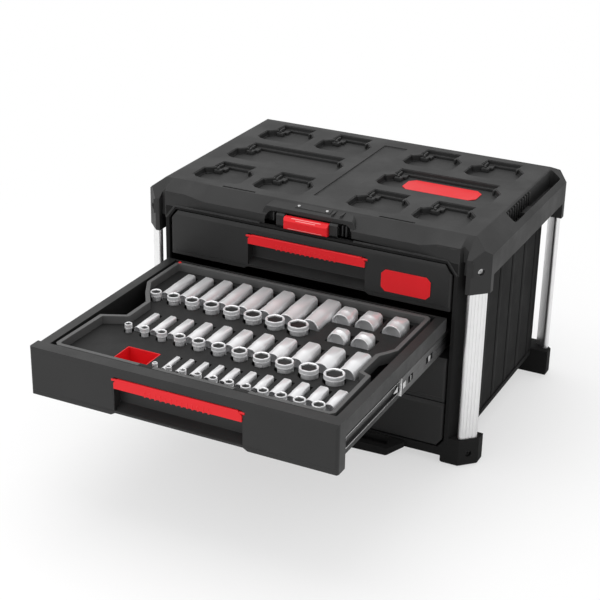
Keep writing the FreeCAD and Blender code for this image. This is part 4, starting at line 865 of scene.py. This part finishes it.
def tray_marks():
    """Small red pin in the tray's rear corner and the notches of the front rim."""
    pin, notches = bmesh.new(), bmesh.new()
    peg(pin, TRAY_PIN["x"], DRAWER_FRONT + TRAY_PIN["y"], moved(TRAY_PIN["z"], TRAY_TOP), TRAY_PIN["radius"])
    for x in NOTCHES["x"]:
        block(notches, x, moved(NOTCHES["y"], DRAWER_FRONT), moved(NOTCHES["z"], TRAY_TOP), NOTCHES["edge"])
    add_piece("tray_pin", pin, "drawer_2", FINISH["red_plastic"])
    add_piece("tray_notches", notches, "drawer_2", FINISH["insert_plastic"])


finish_nodes()
for row_name in SOCKET_ROWS:
    standing_sockets(row_name)
    deep_sockets(row_name)
large_sockets()
recess_details()
latch_surround()
front_mouldings()
hand_grips()
case_panels()
latch_lines()
slide_details()
tray_marks()


# ---------------------------------------------------------------------------
# Floor, background, light and camera
# ---------------------------------------------------------------------------
# in metres; the floor turns white for the camera over the distances of FADE, from and to
# the shares of FADE_WHITE
FLOOR_HALF = 8.0
FADE = (0.5, 1.25)
FADE_WHITE = (0.55, 1.0)
WORLD_LIGHT = 0.85
# place, target, size and watts
LAMPS = {
    "overhead_softbox": ((-0.4, 0.1, 2.4), (0.0, 0.0, 0.2), (2.2, 1.8), 20.0),
    "front_softbox": ((-1.2, -2.2, 1.3), (0.0, -0.1, 0.2), (1.6, 1.4), 12.0),
}
CAMERA_PLACE = (0.8924, -1.8444, 1.1447)
CAMERA_TURN = (26.096, 24.407, 1.089)   # turn, tilt and roll in degrees
CAMERA_LENS = 89.64
CAMERA_SENSOR = 36.0


def make_floor():
    """Pale floor that keeps the shadow near the box and turns white further out."""
    bm = bmesh.new()
    bmesh.ops.create_grid(bm, x_segments=1, y_segments=1, size=FLOOR_HALF)
    mesh = bpy.data.meshes.new("floor")
    bm.to_mesh(mesh)
    bm.free()
    floor = bpy.data.objects.new("floor", mesh)
    bpy.context.scene.collection.objects.link(floor)
    mesh.materials.append(floor_material())


def floor_material():
    """Cloudy near-white, which the camera sees blended into plain white with distance."""
    material = bpy.data.materials.new("floor_pale")
    material.use_nodes = True
    tree = material.node_tree
    surface = tree.nodes["Principled BSDF"]
    surface.inputs["Roughness"].default_value = 0.9
    surface.inputs["Specular IOR Level"].default_value = 0.2
    place = node(tree, "TexCoord")
    cloud = node(tree, "TexNoise", links={"Vector": place.outputs["Object"]}, values={"Scale": 3.0})
    tone = node(tree, "MapRange", links={"Value": cloud.outputs["Fac"]},
                values={"To Min": 0.93, "To Max": 0.96})
    tree.links.new(tone.outputs["Result"], surface.inputs["Base Color"])
    reach = node(tree, "VectorMath", operation="LENGTH", links={0: place.outputs["Object"]})
    ray = node(tree, "LightPath")
    far = math_node(tree, "MULTIPLY", ramp(tree, reach.outputs["Value"], *FADE, *FADE_WHITE),
                    ray.outputs["Is Camera Ray"])
    white = node(tree, "Emission", values={"Color": (1, 1, 1, 1), "Strength": 1.0})
    both = node(tree, "MixShader")
    tree.links.new(far, both.inputs[0])
    tree.links.new(surface.outputs[0], both.inputs[1])
    tree.links.new(white.outputs[0], both.inputs[2])
    tree.links.new(both.outputs[0], tree.nodes["Material Output"].inputs["Surface"])
    return material


def make_world():
    """White to the camera and in reflections, a softer white as light."""
    world = bpy.data.worlds.new("studio")
    world.use_nodes = True
    bpy.context.scene.world = world
    tree = world.node_tree
    ray = node(tree, "LightPath")
    seen = math_node(tree, "MAXIMUM", ray.outputs["Is Camera Ray"], ray.outputs["Is Glossy Ray"])
    seen = math_node(tree, "MAXIMUM", seen, ray.outputs["Is Transmission Ray"])
    strength = node(tree, "MapRange", links={"Value": seen}, values={"To Min": WORLD_LIGHT, "To Max": 1.0})
    tree.links.new(strength.outputs["Result"], tree.nodes["Background"].inputs["Strength"])
    tree.nodes["Background"].inputs["Color"].default_value = (1, 1, 1, 1)


def soft_light(name, place, target, size, energy):
    """Rectangular lamp at a place, turned to a target."""
    data = bpy.data.lights.new(name, "AREA")
    data.shape = "RECTANGLE"
    data.size, data.size_y = size
    data.energy = energy
    lamp = bpy.data.objects.new(name, data)
    bpy.context.scene.collection.objects.link(lamp)
    lamp.location = place
    lamp.rotation_euler = (Vector(place) - Vector(target)).to_track_quat("Z", "Y").to_euler()


def make_camera():
    """Camera at its place, turned left, tilted down and rolled."""
    turn, tilt, roll = (math.radians(a) for a in CAMERA_TURN)
    data = bpy.data.cameras.new("camera")
    data.lens = CAMERA_LENS
    data.sensor_width = CAMERA_SENSOR
    camera = bpy.data.objects.new("camera", data)
    bpy.context.scene.collection.objects.link(camera)
    ahead = Vector((-math.sin(turn), math.cos(turn), 0.0))
    side = Vector((math.cos(turn), math.sin(turn), 0.0))
    view = ahead * math.cos(tilt) - Vector((0, 0, 1)) * math.sin(tilt)
    up = ahead * math.sin(tilt) + Vector((0, 0, 1)) * math.cos(tilt)
    right = side * math.cos(roll) + up * math.sin(roll)
    top = up * math.cos(roll) - side * math.sin(roll)
    camera.matrix_world = Matrix.Translation(CAMERA_PLACE) @ Matrix(
        (right, top, -view)).transposed().to_4x4()
    bpy.context.scene.camera = camera


make_floor()
make_world()
for lamp_name, lamp_settings in LAMPS.items():
    soft_light(lamp_name, *lamp_settings)
make_camera()
bpy.context.scene.view_settings.view_transform = "Standard"
